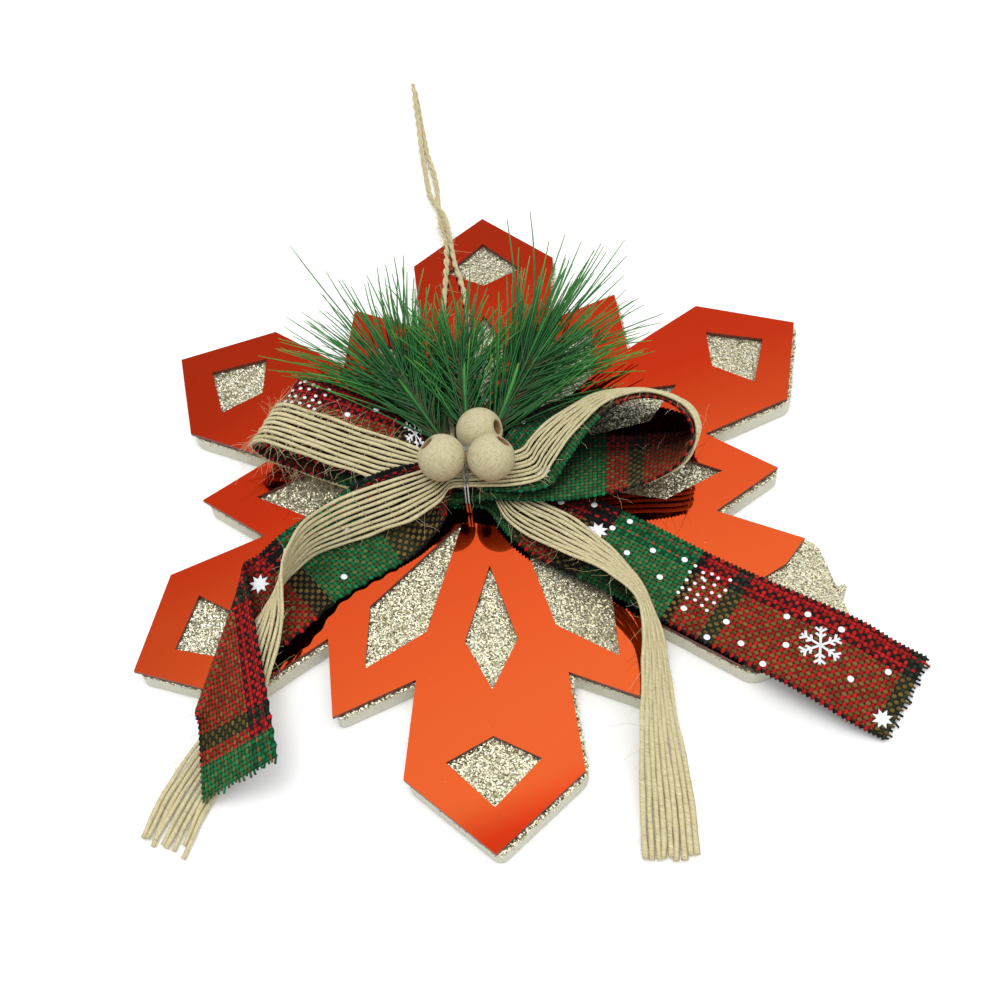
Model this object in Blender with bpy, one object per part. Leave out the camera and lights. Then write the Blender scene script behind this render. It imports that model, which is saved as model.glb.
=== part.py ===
"""Acrylic snowflake ornament: a red mirror acrylic snowflake on a glittered foam base, with a ribbon bow.

The snowflake lies on its back. The origin is the centre of the foam's underside, +Z is up and the front
arm points along -Y. Sizes below are in millimetres; the meshes are built in metres.
"""

import math

import bmesh
import bpy
import numpy as np
from mathutils import Vector

MM = 0.001
GAP = 0.3
ARMS = 6
SECTOR = 60.0
FRONT_ARM = -90.0
BROKEN_ARM = 5

# Foam base and acrylic face
FOAM_THICK = 5.0
FOAM_CORNER_RADIUS = 2.0
FOAM_SHIFT = (0.8, -0.5)
FACE_THICK = 1.0
TIP_RADIUS = 100.0
SHOULDER_RADIUS = 84.0
SHOULDER_ANGLE = 14.2
NOTCH_RADIUS = 59.1
NOTCH_ANGLE = 17.8
POINT_RADIUS = 75.1
HEAD_WINDOW = (71.8, 78.6, 8.0, 89.1)
WAIST_WINDOW = (25.2, 47.0, 7.8, 59.9)
POINT_WINDOW = (13.3, 46.1, 10.1, 60.8)
BREAK_SHOULDER = 81.7
BURR_SHARE = 0.5
BURR_LENGTH = 2.2
BURR_WIDTH = 2.2

# Bow ribbons; heights in the bow are counted in layers of ribbon
PLAID_WIDTH = 25.0
PLAID_THICK = 0.8
JUTE_WIDTH = 12.7
JUTE_THICK = 1.0
LOOSE_SHARE = 1.12
LAYER = (PLAID_THICK + JUTE_THICK) / 2 + GAP
BOW_X = -5.0
BOW_Y = -2.5
SPREAD = TIP_RADIUS / 100.0
PINCH_WIDTH = 5.6
TOP_PINCH_WIDTH = 8.0
PINCH_REACH = 4.0
PINCH_FLARE = 0.15
LOW_PASS = 1.5
MID_PASS = 3.6
TOP_PASS = 5.5
RIBBON_STEP = 4.5
FOLD_STEP = 2.2
BEND_STEP = 17.0
TWIST_SHARE = 0.6
SHORTEST_STEP = 1 / 6
CURVE_SAMPLES = 24
RIBBON_COLUMNS = 4
LEFT_FOLD = (-61.0 * SPREAD, -40.5 * SPREAD)
LEFT_HEADING = 219.0
LEFT_END = (-57.2 * SPREAD, -80.9 * SPREAD, 9.8)
LEFT_END_ACROSS = (8.8, 35.6)
FOLD_ANGLE = 38.5
FOLD_RADIUS = 2.2
FOLD_APPROACH = 1.6
FOLD_SETTLE = 4.0
PLAID_PINCH = -(PINCH_WIDTH / 2 + 2 * GAP)
JUTE_PINCH = -PLAID_PINCH

# Wire, glue and beads
WIRE_DIAMETER = 0.5
WIRE_SLACK = 0.15
WIRE_TURNS = 2.2
BEAD_DIAMETER = 12.0
BEAD_LENGTH = 10.6
BEAD_BORE = 3.0
BEAD_SEAT = 1.7
BEAD_SIDES = 16
BEAD_ARC_STEPS = 6
BEADS = {
    "bead_left": ((-0.46, -0.03, 0.0), (150.0, 42.0)),
    "bead_right": ((0.57, -0.1, 0.0), (35.0, 40.0)),
    "bead_top": ((0.32, 0.85, -0.28), (-10.0, 25.0)),
}
GLUE_RADIUS = 4.0
GLUE_PLACE = (1.5, 3.5)
GLUE_SHARES = (0.0, 0.15, 0.35, 0.6)
GLUE_SIDES = 16

# Pine sprigs and hanging twine
STEM_DIAMETER = 2.2
STEM_LENGTH = 26.0
NEEDLE_LENGTH = 42.0
NEEDLE_WIDTH = 1.0
STEM_TAPER = 0.45
STEM_SIDES = 6
STEM_RINGS = 8
BARE_ROWS = 2
UNDERSIDE = -0.25
NEEDLE_RISE = 0.45
SPRIG_ROOM = 1.4
SPRIGS = {
    "pine_sprig_left": ((-4.8, 11.0, 0.0), 122.0, 19.0, 0.6),
    "pine_sprig_middle": ((0.6, 12.5, 0.6), 95.0, 21.0, 0.36),
    "pine_sprig_right": ((5.4, 11.4, 0.3), 61.0, 23.0, 0.42),
}
TWINE_DIAMETER = 1.5
TWINE_STEP = 4.5
TABLE_CLEARANCE = 0.05

FACE_TOP = FOAM_THICK + FACE_THICK


def clear_objects():
    """Remove what the file holds at the start."""
    for thing in list(bpy.data.objects):
        bpy.data.objects.remove(thing, do_unlink=True)


def make_material(name, colour, roughness, metallic=0.0, transmission=0.0):
    """Return a Principled BSDF material."""
    material = bpy.data.materials.new(name)
    material.use_nodes = True
    shader = material.node_tree.nodes["Principled BSDF"]
    shader.inputs["Base Color"].default_value = (*colour, 1.0)
    shader.inputs["Roughness"].default_value = roughness
    shader.inputs["Metallic"].default_value = metallic
    shader.inputs["Transmission Weight"].default_value = transmission
    material.diffuse_color = (*colour, 1.0)
    return material


def add_object(name, bm, material, smooth_angle=None):
    """Turn a bmesh in millimetres into a named object in metres."""
    bmesh.ops.scale(bm, vec=(MM, MM, MM), verts=bm.verts)
    bmesh.ops.recalc_face_normals(bm, faces=bm.faces)
    mesh = bpy.data.meshes.new(name)
    bm.to_mesh(mesh)
    bm.free()
    if smooth_angle is not None:
        mesh.shade_smooth()
        mesh.set_sharp_from_angle(angle=math.radians(smooth_angle))
    mesh.materials.append(material)
    thing = bpy.data.objects.new(name, mesh)
    bpy.context.scene.collection.objects.link(thing)
    return thing


def cut_away(target, cutter):
    """Cut one object with another that is hidden from renders."""
    cutter.hide_render = True
    cutter.display_type = "WIRE"
    cut = target.modifiers.new(cutter.name, "BOOLEAN")
    cut.operation = "DIFFERENCE"
    cut.object = cutter


def polar(radius, degrees):
    """Return a plan point from a radius and an angle."""
    angle = math.radians(degrees)
    return radius * math.cos(angle), radius * math.sin(angle)


def direction(yaw, tilt=0.0):
    """Return a unit vector from its bearing in plan and its rise, in degrees."""
    rise = math.radians(tilt)
    flat = polar(math.cos(rise), yaw)
    return np.array([flat[0], flat[1], math.sin(rise)])


def head_break(axis):
    """Return the edge left where the head of an arm has snapped off round its window."""
    inner, side, spread, _outer = HEAD_WINDOW
    return [
        polar(BREAK_SHOULDER, axis - SHOULDER_ANGLE),
        polar(side, axis - spread),
        polar(inner, axis),
        polar(side, axis + spread),
        polar(BREAK_SHOULDER, axis + SHOULDER_ANGLE),
    ]


def arm_head(axis):
    """Return the shoulder, tip and shoulder of a whole arm."""
    return [
        polar(SHOULDER_RADIUS, axis - SHOULDER_ANGLE),
        polar(TIP_RADIUS, axis),
        polar(SHOULDER_RADIUS, axis + SHOULDER_ANGLE),
    ]


def arm_axis(arm):
    """Return an arm's bearing; arms are counted clockwise from the front one."""
    return FRONT_ARM - SECTOR * arm


def snowflake_outline(broken_head):
    """Return the plan outline, anticlockwise, of the face or of the base below it."""
    outline = []
    for arm in range(ARMS, 0, -1):
        axis = arm_axis(arm)
        outline.append(polar(NOTCH_RADIUS, axis - NOTCH_ANGLE))
        outline.extend(broken_head(axis) if arm == BROKEN_ARM else arm_head(axis))
        outline.append(polar(NOTCH_RADIUS, axis + NOTCH_ANGLE))
        outline.append(polar(POINT_RADIUS, axis + SECTOR / 2))
    return outline


def foam_head(axis):
    """Return a whole arm's head with a burr of foam standing out of its edge."""
    shoulder, tip, far_shoulder = arm_head(axis)
    edge = Vector(far_shoulder) - Vector(tip)
    edge.normalize()
    outward = Vector((edge.y, -edge.x))
    root = Vector(tip).lerp(Vector(far_shoulder), BURR_SHARE)
    half = edge * BURR_WIDTH / 2
    burr = [root - half, root + outward * BURR_LENGTH, root + outward * BURR_LENGTH + half, root + half]
    return [shoulder, tip] + [tuple(point) for point in burr] + [far_shoulder]


def window(axis, sizes):
    """Return a four-cornered window on an axis."""
    inner, side, spread, outer = sizes
    return [polar(inner, axis), polar(side, axis - spread), polar(outer, axis), polar(side, axis + spread)]


def prism(outline, bottom, top):
    """Return a bmesh prism over a plan outline."""
    bm = bmesh.new()
    face = bm.faces.new([bm.verts.new((x, y, bottom)) for x, y in outline])
    raised = bmesh.ops.extrude_face_region(bm, geom=[face])
    moved = [item for item in raised["geom"] if isinstance(item, bmesh.types.BMVert)]
    bmesh.ops.translate(bm, vec=(0.0, 0.0, top - bottom), verts=moved)
    bmesh.ops.recalc_face_normals(bm, faces=bm.faces)
    return bm


def build_foam_base(material):
    """Make the foam layer, with its corners rounded."""
    bm = prism(snowflake_outline(foam_head), 0.0, FOAM_THICK - GAP)
    bmesh.ops.translate(bm, vec=(*FOAM_SHIFT, 0.0), verts=bm.verts)
    upright = [edge for edge in bm.edges if abs(edge.verts[0].co.z - edge.verts[1].co.z) > FOAM_THICK / 2]
    shortest = FOAM_CORNER_RADIUS * 3
    long_sided = [edge for edge in upright if min(side.calc_length() for side in plan_sides(edge)) > shortest]
    bmesh.ops.bevel(bm, geom=long_sided, offset=FOAM_CORNER_RADIUS, segments=3, affect="EDGES", profile=0.5)
    return add_object("foam_base", bm, material)


def plan_sides(upright):
    """Return the horizontal edges that meet an upright edge."""
    sides = {edge for vert in upright.verts for edge in vert.link_edges}
    sides.discard(upright)
    return sides


def build_acrylic_face(material):
    """Make the mirror acrylic layer with its windows cut through."""
    face = add_object("acrylic_face", prism(snowflake_outline(head_break), FOAM_THICK, FACE_TOP), material)
    cutters = bmesh.new()
    for arm in range(ARMS):
        axis = arm_axis(arm)
        shapes = [window(axis, WAIST_WINDOW), window(axis + SECTOR / 2, POINT_WINDOW)]
        if arm != BROKEN_ARM:
            shapes.append(window(axis, HEAD_WINDOW))
        for shape in shapes:
            piece = prism(shape, FOAM_THICK - FACE_THICK, FACE_TOP + FACE_THICK)
            mesh = bpy.data.meshes.new("window")
            piece.to_mesh(mesh)
            piece.free()
            cutters.from_mesh(mesh)
            bpy.data.meshes.remove(mesh)
    cutter = add_object("window_cutters", cutters, material)
    cut_away(face, cutter)
    return face


def smooth_route(rows):
    """Read rows from a centripetal Catmull-Rom curve through hand-chosen rows of numbers.

    The first three numbers of a row are its place, the next three its across direction if it has one, and
    the last its longest step. Rows come closer together where the route bends or twists.
    """
    rows = np.array(rows, dtype=float)
    rows = np.vstack([2 * rows[0] - rows[1], rows, 2 * rows[-1] - rows[-2]])
    dense = []
    for i in range(1, len(rows) - 2):
        four = rows[i - 1:i + 3]
        gaps = np.linalg.norm(np.diff(four[:, :3], axis=0), axis=1)
        knots = np.concatenate([[0.0], np.cumsum(np.sqrt(gaps))])
        for share in np.linspace(0.0, 1.0, CURVE_SAMPLES, endpoint=False):
            dense.append(catmull_rom(four, knots, knots[1] + share * (knots[2] - knots[1])))
    dense.append(rows[-2])
    kept = [dense[0]]
    length = turned = 0.0
    for before, row, after in zip(dense, dense[1:], dense[2:]):
        length += np.linalg.norm(row[:3] - before[:3])
        turned += turn_between(row[:3] - before[:3], after[:3] - row[:3])
        if len(row) > 6:
            turned += TWIST_SHARE * turn_between(before[3:6], row[3:6])
        if length >= row[-1] or (turned >= BEND_STEP and length >= row[-1] * SHORTEST_STEP):
            kept.append(row)
            length = turned = 0.0
    if length < kept[-1][-1] * SHORTEST_STEP:
        kept.pop()
    kept.append(dense[-1])
    return np.array(kept)


def turn_between(first, second):
    """Return the angle between two directions, in degrees."""
    sine = np.linalg.norm(np.cross(first, second))
    return math.degrees(math.atan2(sine, np.dot(first, second)))


def catmull_rom(four, knots, t):
    """Return the curve between the middle two of four rows."""
    def mix(a, b, ta, tb):
        return a * (tb - t) / (tb - ta) + b * (t - ta) / (tb - ta)

    a1 = mix(four[0], four[1], knots[0], knots[1])
    a2 = mix(four[1], four[2], knots[1], knots[2])
    a3 = mix(four[2], four[3], knots[2], knots[3])
    b1 = mix(a1, a2, knots[0], knots[2])
    b2 = mix(a2, a3, knots[1], knots[3])
    return mix(b1, b2, knots[1], knots[2])


def station(centre, across, width, step=RIBBON_STEP):
    """Return a ribbon station: its centre, its across direction, its width and the longest step near it."""
    return np.concatenate([centre, across, [width, step]])


def rim_station(x, y, front, yaw, back, share=1.0):
    """Return a plaid station from its front rim and the heights of both rims, in layers above the face."""
    width = PLAID_WIDTH * share
    rise = math.degrees(math.asin((back - front) * LAYER / width))
    across = direction(yaw, rise)
    rim = np.array([x * SPREAD, y * SPREAD, FACE_TOP + front * LAYER])
    return station(rim + across * width / 2, across, width)


def centre_station(width, x, y, lift, rest, yaw, tilt=0.0, step=RIBBON_STEP):
    """Return a station from its centre; it rests on the face at 1 and on the table at 0."""
    centre = [x * SPREAD, y * SPREAD, FACE_TOP * rest + lift * LAYER]
    return station(centre, direction(yaw, tilt), width, step)


def pinch_station(side, offset, lift, width):
    """Return a station of the gathered ribbon in the tie, at it or to either side of it."""
    centre = [BOW_X + side * PINCH_REACH, BOW_Y + offset, FACE_TOP + lift * LAYER]
    return station(centre, direction(90.0), width * (1.0 + PINCH_FLARE * abs(side)))


def side_ply(route, share, shift, outward):
    """Return the stations of a jute ply that lies against a ribbon route, moved across and outward."""
    acrosses = route[:, 3:6] / np.linalg.norm(route[:, 3:6], axis=1, keepdims=True)
    centres = route[:, :3] + acrosses * shift
    normals = np.cross(np.gradient(centres, axis=0), acrosses)
    normals *= outward / np.linalg.norm(normals, axis=1, keepdims=True)
    return [station(*parts, JUTE_WIDTH * share) for parts in zip(centres + normals, acrosses)]


def left_loop():
    """Return the plaid stations of the left loop, from its lower pass round to its upper one."""
    return [
        rim_station(-28.0, -3.2, 2.7, 68, 2.7, 0.92),
        rim_station(-40.0, 0.6, 3.2, 66, 3.2),
        rim_station(-50.0, 4.8, 3.9, 66, 3.9),
        rim_station(-57.0, 7.9, 4.6, 66, 4.6),
        rim_station(-60.6, 9.4, 7.0, 66, 7.0),
        rim_station(-57.4, 8.0, 9.4, 66, 9.4),
        rim_station(-50.0, 5.1, 8.9, 66, 8.9),
        rim_station(-40.0, 1.6, 7.1, 66, 7.1),
        rim_station(-28.0, -0.9, 4.7, 68, 4.7, 0.92),
    ]


def right_loop():
    """Return the plaid stations of the right loop, which leans open to the front."""
    return [
        rim_station(22.0, -11.1, 5.2, 88, 2.5, 0.94),
        rim_station(34.1, -9.9, 6.0, 84, 1.3, 0.92),
        rim_station(42.3, -8.2, 7.3, 81, 1.2, 0.88),
        rim_station(47.7, -6.1, 9.2, 77, 1.2, 0.85),
        rim_station(50.7, -3.7, 11.3, 77, 1.3, 0.85),
        rim_station(52.0, -1.5, 13.7, 77, 1.4, 0.9),
        rim_station(51.7, 0.9, 15.7, 76, 1.6, 0.95),
        rim_station(49.7, 4.1, 17.0, 76, 1.8),
        rim_station(46.1, 7.2, 17.5, 80, 2.0),
        rim_station(41.0, 9.0, 17.2, 85, 2.0),
        rim_station(34.0, 9.0, 15.3, 97, 1.8),
        rim_station(27.3, 4.8, 12.3, 109, 1.9),
        rim_station(21.1, -2.4, 9.5, 119, 3.2),
        rim_station(15.2, -9.0, 7.7, 114, 5.8, 0.9),
    ]


def right_tail_plaid():
    """Return the plaid stations of the right tail, from its end in to the tie."""
    width = PLAID_WIDTH
    return [
        centre_station(width, 96.1, -65.0, 0.9, 0.0, 56),
        centre_station(width, 88.5, -61.6, 1.1, 0.45, 56),
        centre_station(width, 82.0, -57.6, 1.2, 0.8, 56),
        centre_station(width * 0.97, 74.8, -53.3, 1.2, 1.0, 56),
        centre_station(width * 0.95, 65.7, -47.5, 1.2, 1.0, 56),
        centre_station(width * 0.92, 49.4, -36.8, 1.3, 1.0, 56),
        centre_station(width * 0.92, 33.4, -25.3, 1.3, 1.0, 56),
        centre_station(width * 0.9, 17.4, -14.9, 1.3, 1.0, 56),
        centre_station(width * 0.74, 10.7, -11.2, 1.3, 1.0, 59),
        centre_station(width * 0.5, 5.0, -8.7, 1.3, 1.0, 68),
    ]


def past_fold(distance, lift):
    """Return a station of the left tail as if it ran straight on past the middle of its fold."""
    x, y = polar(distance, LEFT_HEADING)
    centre = [LEFT_FOLD[0] + x, LEFT_FOLD[1] + y, FACE_TOP + lift * LAYER]
    return station(centre, direction(LEFT_HEADING - 90.0), PLAID_WIDTH, FOLD_STEP)


def left_tail_plaid():
    """Return the plaid stations of the left tail, laid out straight from the tie past its fold."""
    width = PLAID_WIDTH
    return [
        rim_station(-10.6, -12.4, 3.6, 116, 7.4, 0.66),
        rim_station(-17.6, -20.6, 1.4, 122, 7.7, 0.94),
        rim_station(-27.8, -27.2, 1.1, 128, 3.6),
        rim_station(-37.2, -33.6, 1.4, 129.5, 2.3),
        centre_station(width, -52.8, -33.4, 2.7, 1.0, 129.5, 0.0, FOLD_STEP),
        past_fold(0.0, 2.7),
        past_fold(17.0, 2.4),
        past_fold(43.0, 2.4),
    ]


def right_tail_jute():
    """Return the jute stations of the right tail, from its end in to the tie."""
    width = JUTE_WIDTH
    return [
        centre_station(width, 38.1, -101.6, 0.8, 0.0, 2),
        centre_station(width, 38.4, -90.8, 1.5, 0.0, 6, -8.0),
        centre_station(width, 38.3, -80.8, 3.2, 0.0, 13, -22.0),
        centre_station(width, 38.1, -71.7, 3.7, 0.3, 19, -37.0),
        centre_station(width, 38.1, -63.7, 3.9, 0.7, 28, -45.0),
        centre_station(width, 38.3, -57.1, 4.4, 1.0, 35, -49.0),
        centre_station(width, 38.1, -51.0, 5.7, 1.0, 45, -52.0),
        centre_station(width, 37.4, -44.6, 6.4, 1.0, 62, -53.0),
        centre_station(width, 35.6, -38.9, 6.1, 1.0, 70, -47.0),
        centre_station(width, 31.6, -32.3, 5.7, 1.0, 70, -38.0),
        centre_station(width, 25.0, -25.3, 4.7, 1.0, 64, -25.0),
        centre_station(width, 16.6, -17.8, 3.4, 1.0, 54, -9.0),
        centre_station(width * 0.8, 7.5, -10.4, 2.6, 1.0, 58),
    ]


def left_tail_jute():
    """Return the jute stations of the left tail, from the tie through its twist to its end."""
    width = JUTE_WIDTH
    return [
        centre_station(width * 0.84, -14.0, -6.6, 7.7, 1.0, 114, 12.0),
        centre_station(width, -22.5, -10.6, 7.6, 1.0, 121, 25.0),
        centre_station(width, -31.0, -13.2, 6.9, 1.0, 128, 36.0),
        centre_station(width, -38.0, -16.6, 7.2, 1.0, 138, 56.0),
        centre_station(width * 0.95, -44.4, -20.8, 7.6, 1.0, 143, 77.0),
        centre_station(width * 0.9, -48.3, -26.8, 7.8, 1.0, 150, 92.0),
        centre_station(width * 0.9, -50.6, -33.2, 8.0, 1.0, 168, 108.0),
        centre_station(width * 0.92, -52.0, -38.0, 7.5, 1.0, 180, 126.0),
        centre_station(width * 0.96, -53.4, -42.4, 6.2, 1.0, 183, 147.0),
        centre_station(width * 0.9, -55.8, -49.6, 4.7, 1.0, 172, 172.0),
        centre_station(width * 0.84, -57.2, -57.6, 4.5, 1.0, 162, 179.0),
        centre_station(width * 0.86, -59.9, -65.6, 3.2, 0.6, 157, 180.0),
        centre_station(width, -66.3, -73.0, 1.2, 0.1, 158, 180.0),
        centre_station(width, -71.2, -81.6, 0.8, 0.0, 158, 180.0),
        centre_station(width, -74.4, -91.5, 0.7, 0.0, 159, 180.0),
    ]


def plaid_route():
    """Return the plaid ribbon's whole route: tail, loop, loop, tail, tied three times."""
    stations = [
        *right_tail_plaid(),
        pinch_station(1, PLAID_PINCH, 1.35, PINCH_WIDTH),
        pinch_station(0, PLAID_PINCH, LOW_PASS, PINCH_WIDTH),
        pinch_station(-1, PLAID_PINCH, 2.4, PINCH_WIDTH),
        *left_loop(),
        pinch_station(-1, PLAID_PINCH, 3.5, PINCH_WIDTH),
        pinch_station(0, PLAID_PINCH, MID_PASS, PINCH_WIDTH),
        pinch_station(1, PLAID_PINCH, 4.65, PINCH_WIDTH),
        *right_loop(),
        pinch_station(1, 0.0, 5.8, TOP_PINCH_WIDTH),
        pinch_station(0, 0.0, TOP_PASS, TOP_PINCH_WIDTH),
        pinch_station(-1, 0.0, 5.8, TOP_PINCH_WIDTH),
        *left_tail_plaid(),
    ]
    return smooth_route(stations)


def jute_route():
    """Return the jute ribbon's route, which lies on the outer side of the plaid one."""
    along_front = (JUTE_WIDTH * LOOSE_SHARE - PLAID_WIDTH) / 2
    amidships = (JUTE_WIDTH - PLAID_WIDTH) / 4
    stations = [
        *right_tail_jute(),
        pinch_station(1, JUTE_PINCH, 2.4, PINCH_WIDTH),
        pinch_station(0, JUTE_PINCH, LOW_PASS, PINCH_WIDTH),
        pinch_station(-1, JUTE_PINCH, 1.4, PINCH_WIDTH),
        *side_ply(smooth_route(left_loop()), LOOSE_SHARE, along_front, LAYER),
        pinch_station(-1, JUTE_PINCH, 4.6, PINCH_WIDTH),
        pinch_station(0, JUTE_PINCH, MID_PASS, PINCH_WIDTH),
        pinch_station(1, JUTE_PINCH, 3.6, PINCH_WIDTH),
        *side_ply(smooth_route(right_loop()), 1.0, amidships, -LAYER),
        pinch_station(1, 0.0, 6.9, TOP_PINCH_WIDTH),
        pinch_station(0, 0.0, TOP_PASS + 1.0, TOP_PINCH_WIDTH),
        pinch_station(-1, 0.0, 6.9, TOP_PINCH_WIDTH),
        *left_tail_jute(),
    ]
    return smooth_route(stations)


def unit(vector):
    """Return a vector at length one."""
    return vector / np.linalg.norm(vector)


class Ribbon:
    """A flat ribbon along a route, with its places read by distance along it and share of its width."""

    def __init__(self, route):
        """Measure the route."""
        self.route = route
        steps = np.linalg.norm(np.diff(route[:, :3], axis=0), axis=1)
        self.along = np.concatenate([[0.0], np.cumsum(steps)])

    def spot(self, distance, sideways, offset=0.0):
        """Return the place at a distance along, a share of the width sideways and an offset upward."""
        row = self.row(distance)
        across = unit(row[3:6])
        tangent = self.row(distance + 0.5)[:3] - self.row(distance - 0.5)[:3]
        return row[:3] + across * row[6] * sideways + unit(np.cross(tangent, across)) * offset

    def row(self, distance):
        """Return the route's numbers at a distance along it."""
        return np.array([np.interp(distance, self.along, column) for column in self.route.T])

    def ring_distance(self, index, _sideways):
        """Return how far along the ribbon a spot of a row lies."""
        return self.along[index]


class FoldedRibbon(Ribbon):
    """A ribbon whose last tail turns over a slanting fold line and back over itself."""

    def __init__(self, route):
        """Lay the fold line across the route where it passes the fold's middle."""
        super().__init__(route)
        angle = math.radians(FOLD_ANGLE)
        gaps = np.linalg.norm(route[:, :2] - np.array(LEFT_FOLD), axis=1)
        self.middle = self.along[int(np.argmin(gaps))]
        self.slant = PLAID_WIDTH / math.tan(angle)
        self.axis = unit(self.line_spot(-0.5) - self.line_spot(0.5))
        self.outward = unit(np.cross(self.axis, (0.0, 0.0, 1.0)))
        self.turn = math.pi * FOLD_RADIUS / math.sin(angle)
        self.drift = self.turn * math.cos(angle)

    def line_spot(self, sideways):
        """Return the point of the fold line at a share of the width sideways."""
        return super().spot(self.middle - self.slant * sideways, sideways)

    def ring_distance(self, index, sideways):
        """Return how far along a spot of a row lies: near the fold the rows run along the fold line."""
        half = self.slant / 2
        near = 1.0 + (self.along[index] - self.middle + half) / (FOLD_APPROACH * half)
        left = (self.along[-1] - self.along[index]) / (self.along[-1] - self.middle - self.turn)
        skew = min(max(near, 0.0), 1.0) * min(left, 1.0)
        return self.along[index] - skew * self.slant * sideways

    def spot(self, distance, sideways, offset=0.0):
        """Return a place on the ribbon, before the fold, on its turn, or on the strip that lies over it."""
        past = distance - self.middle + self.slant * sideways
        if past <= 0.0:
            return super().spot(distance, sideways, offset)
        start = self.line_spot(sideways)
        angle = math.pi * min(past / self.turn, 1.0)
        reach = FOLD_RADIUS + offset
        lifted = np.array([0.0, 0.0, FOLD_RADIUS - reach * math.cos(angle)])
        if past <= self.turn:
            turned = start + self.outward * reach * math.sin(angle) + lifted
            return turned + self.axis * self.drift * past / self.turn
        across = direction(*LEFT_END_ACROSS)
        base = start + self.axis * self.drift + np.array([0.0, 0.0, 2 * FOLD_RADIUS])
        end = np.array(LEFT_END) + across * PLAID_WIDTH * sideways
        share = (past - self.turn) / (self.along[-1] - self.middle + self.slant * sideways - self.turn)
        normal = unit(np.cross(across, end - base))
        normal *= math.copysign(1.0, normal[2])
        settle = min(share * FOLD_SETTLE, 1.0)
        return base + (end - base) * share + unit(np.array([0.0, 0.0, 1.0 - settle]) + normal * settle) * offset


def build_ribbon(name, ribbon, thick, material):
    """Make one flat ribbon as one closed body."""
    bm = bmesh.new()
    shares = [j / RIBBON_COLUMNS - 0.5 for j in range(RIBBON_COLUMNS + 1)]
    rings = []
    for index in range(len(ribbon.route)):
        ring = [ribbon.spot(ribbon.ring_distance(index, share), share, thick / 2) for share in shares]
        ring += [ribbon.spot(ribbon.ring_distance(index, share), share, -thick / 2) for share in reversed(shares)]
        rings.append([bm.verts.new(spot) for spot in ring])
    count = len(rings[0])
    for first, second in zip(rings, rings[1:]):
        for k in range(count):
            bm.faces.new((first[k], first[(k + 1) % count], second[(k + 1) % count], second[k]))
    bm.faces.new(rings[0])
    bm.faces.new(reversed(rings[-1]))
    return add_object(name, bm, material, 50)


def build_tube(name, points, diameter, material, resolution=2):
    """Make a round tube with filled caps along points in millimetres."""
    curve = bpy.data.curves.new(name, "CURVE")
    curve.dimensions = "3D"
    curve.bevel_depth = diameter * MM / 2
    curve.bevel_resolution = resolution
    curve.use_fill_caps = True
    spline = curve.splines.new("POLY")
    spline.points.add(len(points) - 1)
    for spot, row in zip(spline.points, points):
        spot.co = (row[0] * MM, row[1] * MM, row[2] * MM, 1.0)
    curve.materials.append(material)
    thing = bpy.data.objects.new(name, curve)
    bpy.context.scene.collection.objects.link(thing)
    return thing


def tie_corners():
    """Return the corners, across and up, of the bundle of ribbons inside the tie."""
    half_width = JUTE_PINCH + PINCH_WIDTH / 2
    half_top = TOP_PINCH_WIDTH / 2
    bottom = FACE_TOP + LOW_PASS * LAYER - JUTE_THICK / 2
    middle = FACE_TOP + MID_PASS * LAYER + JUTE_THICK / 2
    top = FACE_TOP + (TOP_PASS + 1.0) * LAYER + JUTE_THICK / 2
    return [
        (half_width, bottom), (half_width, middle), (half_top, top),
        (-half_top, top), (-half_width, middle), (-half_width, bottom),
    ]


def build_tie_wire(material):
    """Wind the silver wire round the gathered middle of the bow."""
    clear = GAP + WIRE_SLACK + WIRE_DIAMETER / 2
    corners = tie_corners()
    loop = []
    for i, (y, z) in enumerate(corners):
        before = corners[i - 1]
        after = corners[(i + 1) % len(corners)]
        first = math.atan2(-(y - before[0]), z - before[1])
        last = math.atan2(-(after[0] - y), after[1] - z)
        turn = (last - first) % (2 * math.pi)
        for share in (0.0, 0.5, 1.0):
            angle = first + turn * share
            loop.append((y + clear * math.cos(angle), z + clear * math.sin(angle)))
    pitch = WIRE_DIAMETER + GAP
    points = []
    for i in range(int(WIRE_TURNS * len(loop)) + 1):
        y, z = loop[i % len(loop)]
        x = BOW_X + pitch * (i / len(loop) - WIRE_TURNS / 2)
        points.append((x, BOW_Y + y, z))
    return build_tube("tie_wire", points, WIRE_DIAMETER, material, 1)


def bead_centre(name):
    """Return the centre of a bead from its place beside the tie, counted in bead diameters."""
    place = Vector(BEADS[name][0]) * BEAD_DIAMETER
    return Vector((BOW_X, BOW_Y, bead_level())) + place


def bead_level():
    """Return the height of the lower beads' centres: they sit on the bow."""
    return tie_corners()[2][1] + BEAD_SEAT + BEAD_DIAMETER / 2


def glue_room(x, y, z):
    """Return how far a point is from the nearest bead, level with it."""
    rooms = []
    for name in BEADS:
        centre = bead_centre(name)
        inside = (BEAD_DIAMETER / 2) ** 2 - (centre.z - z) ** 2
        rooms.append(math.hypot(centre.x - x, centre.y - y) - math.sqrt(max(inside, 0.0)))
    return min(rooms)


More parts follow.
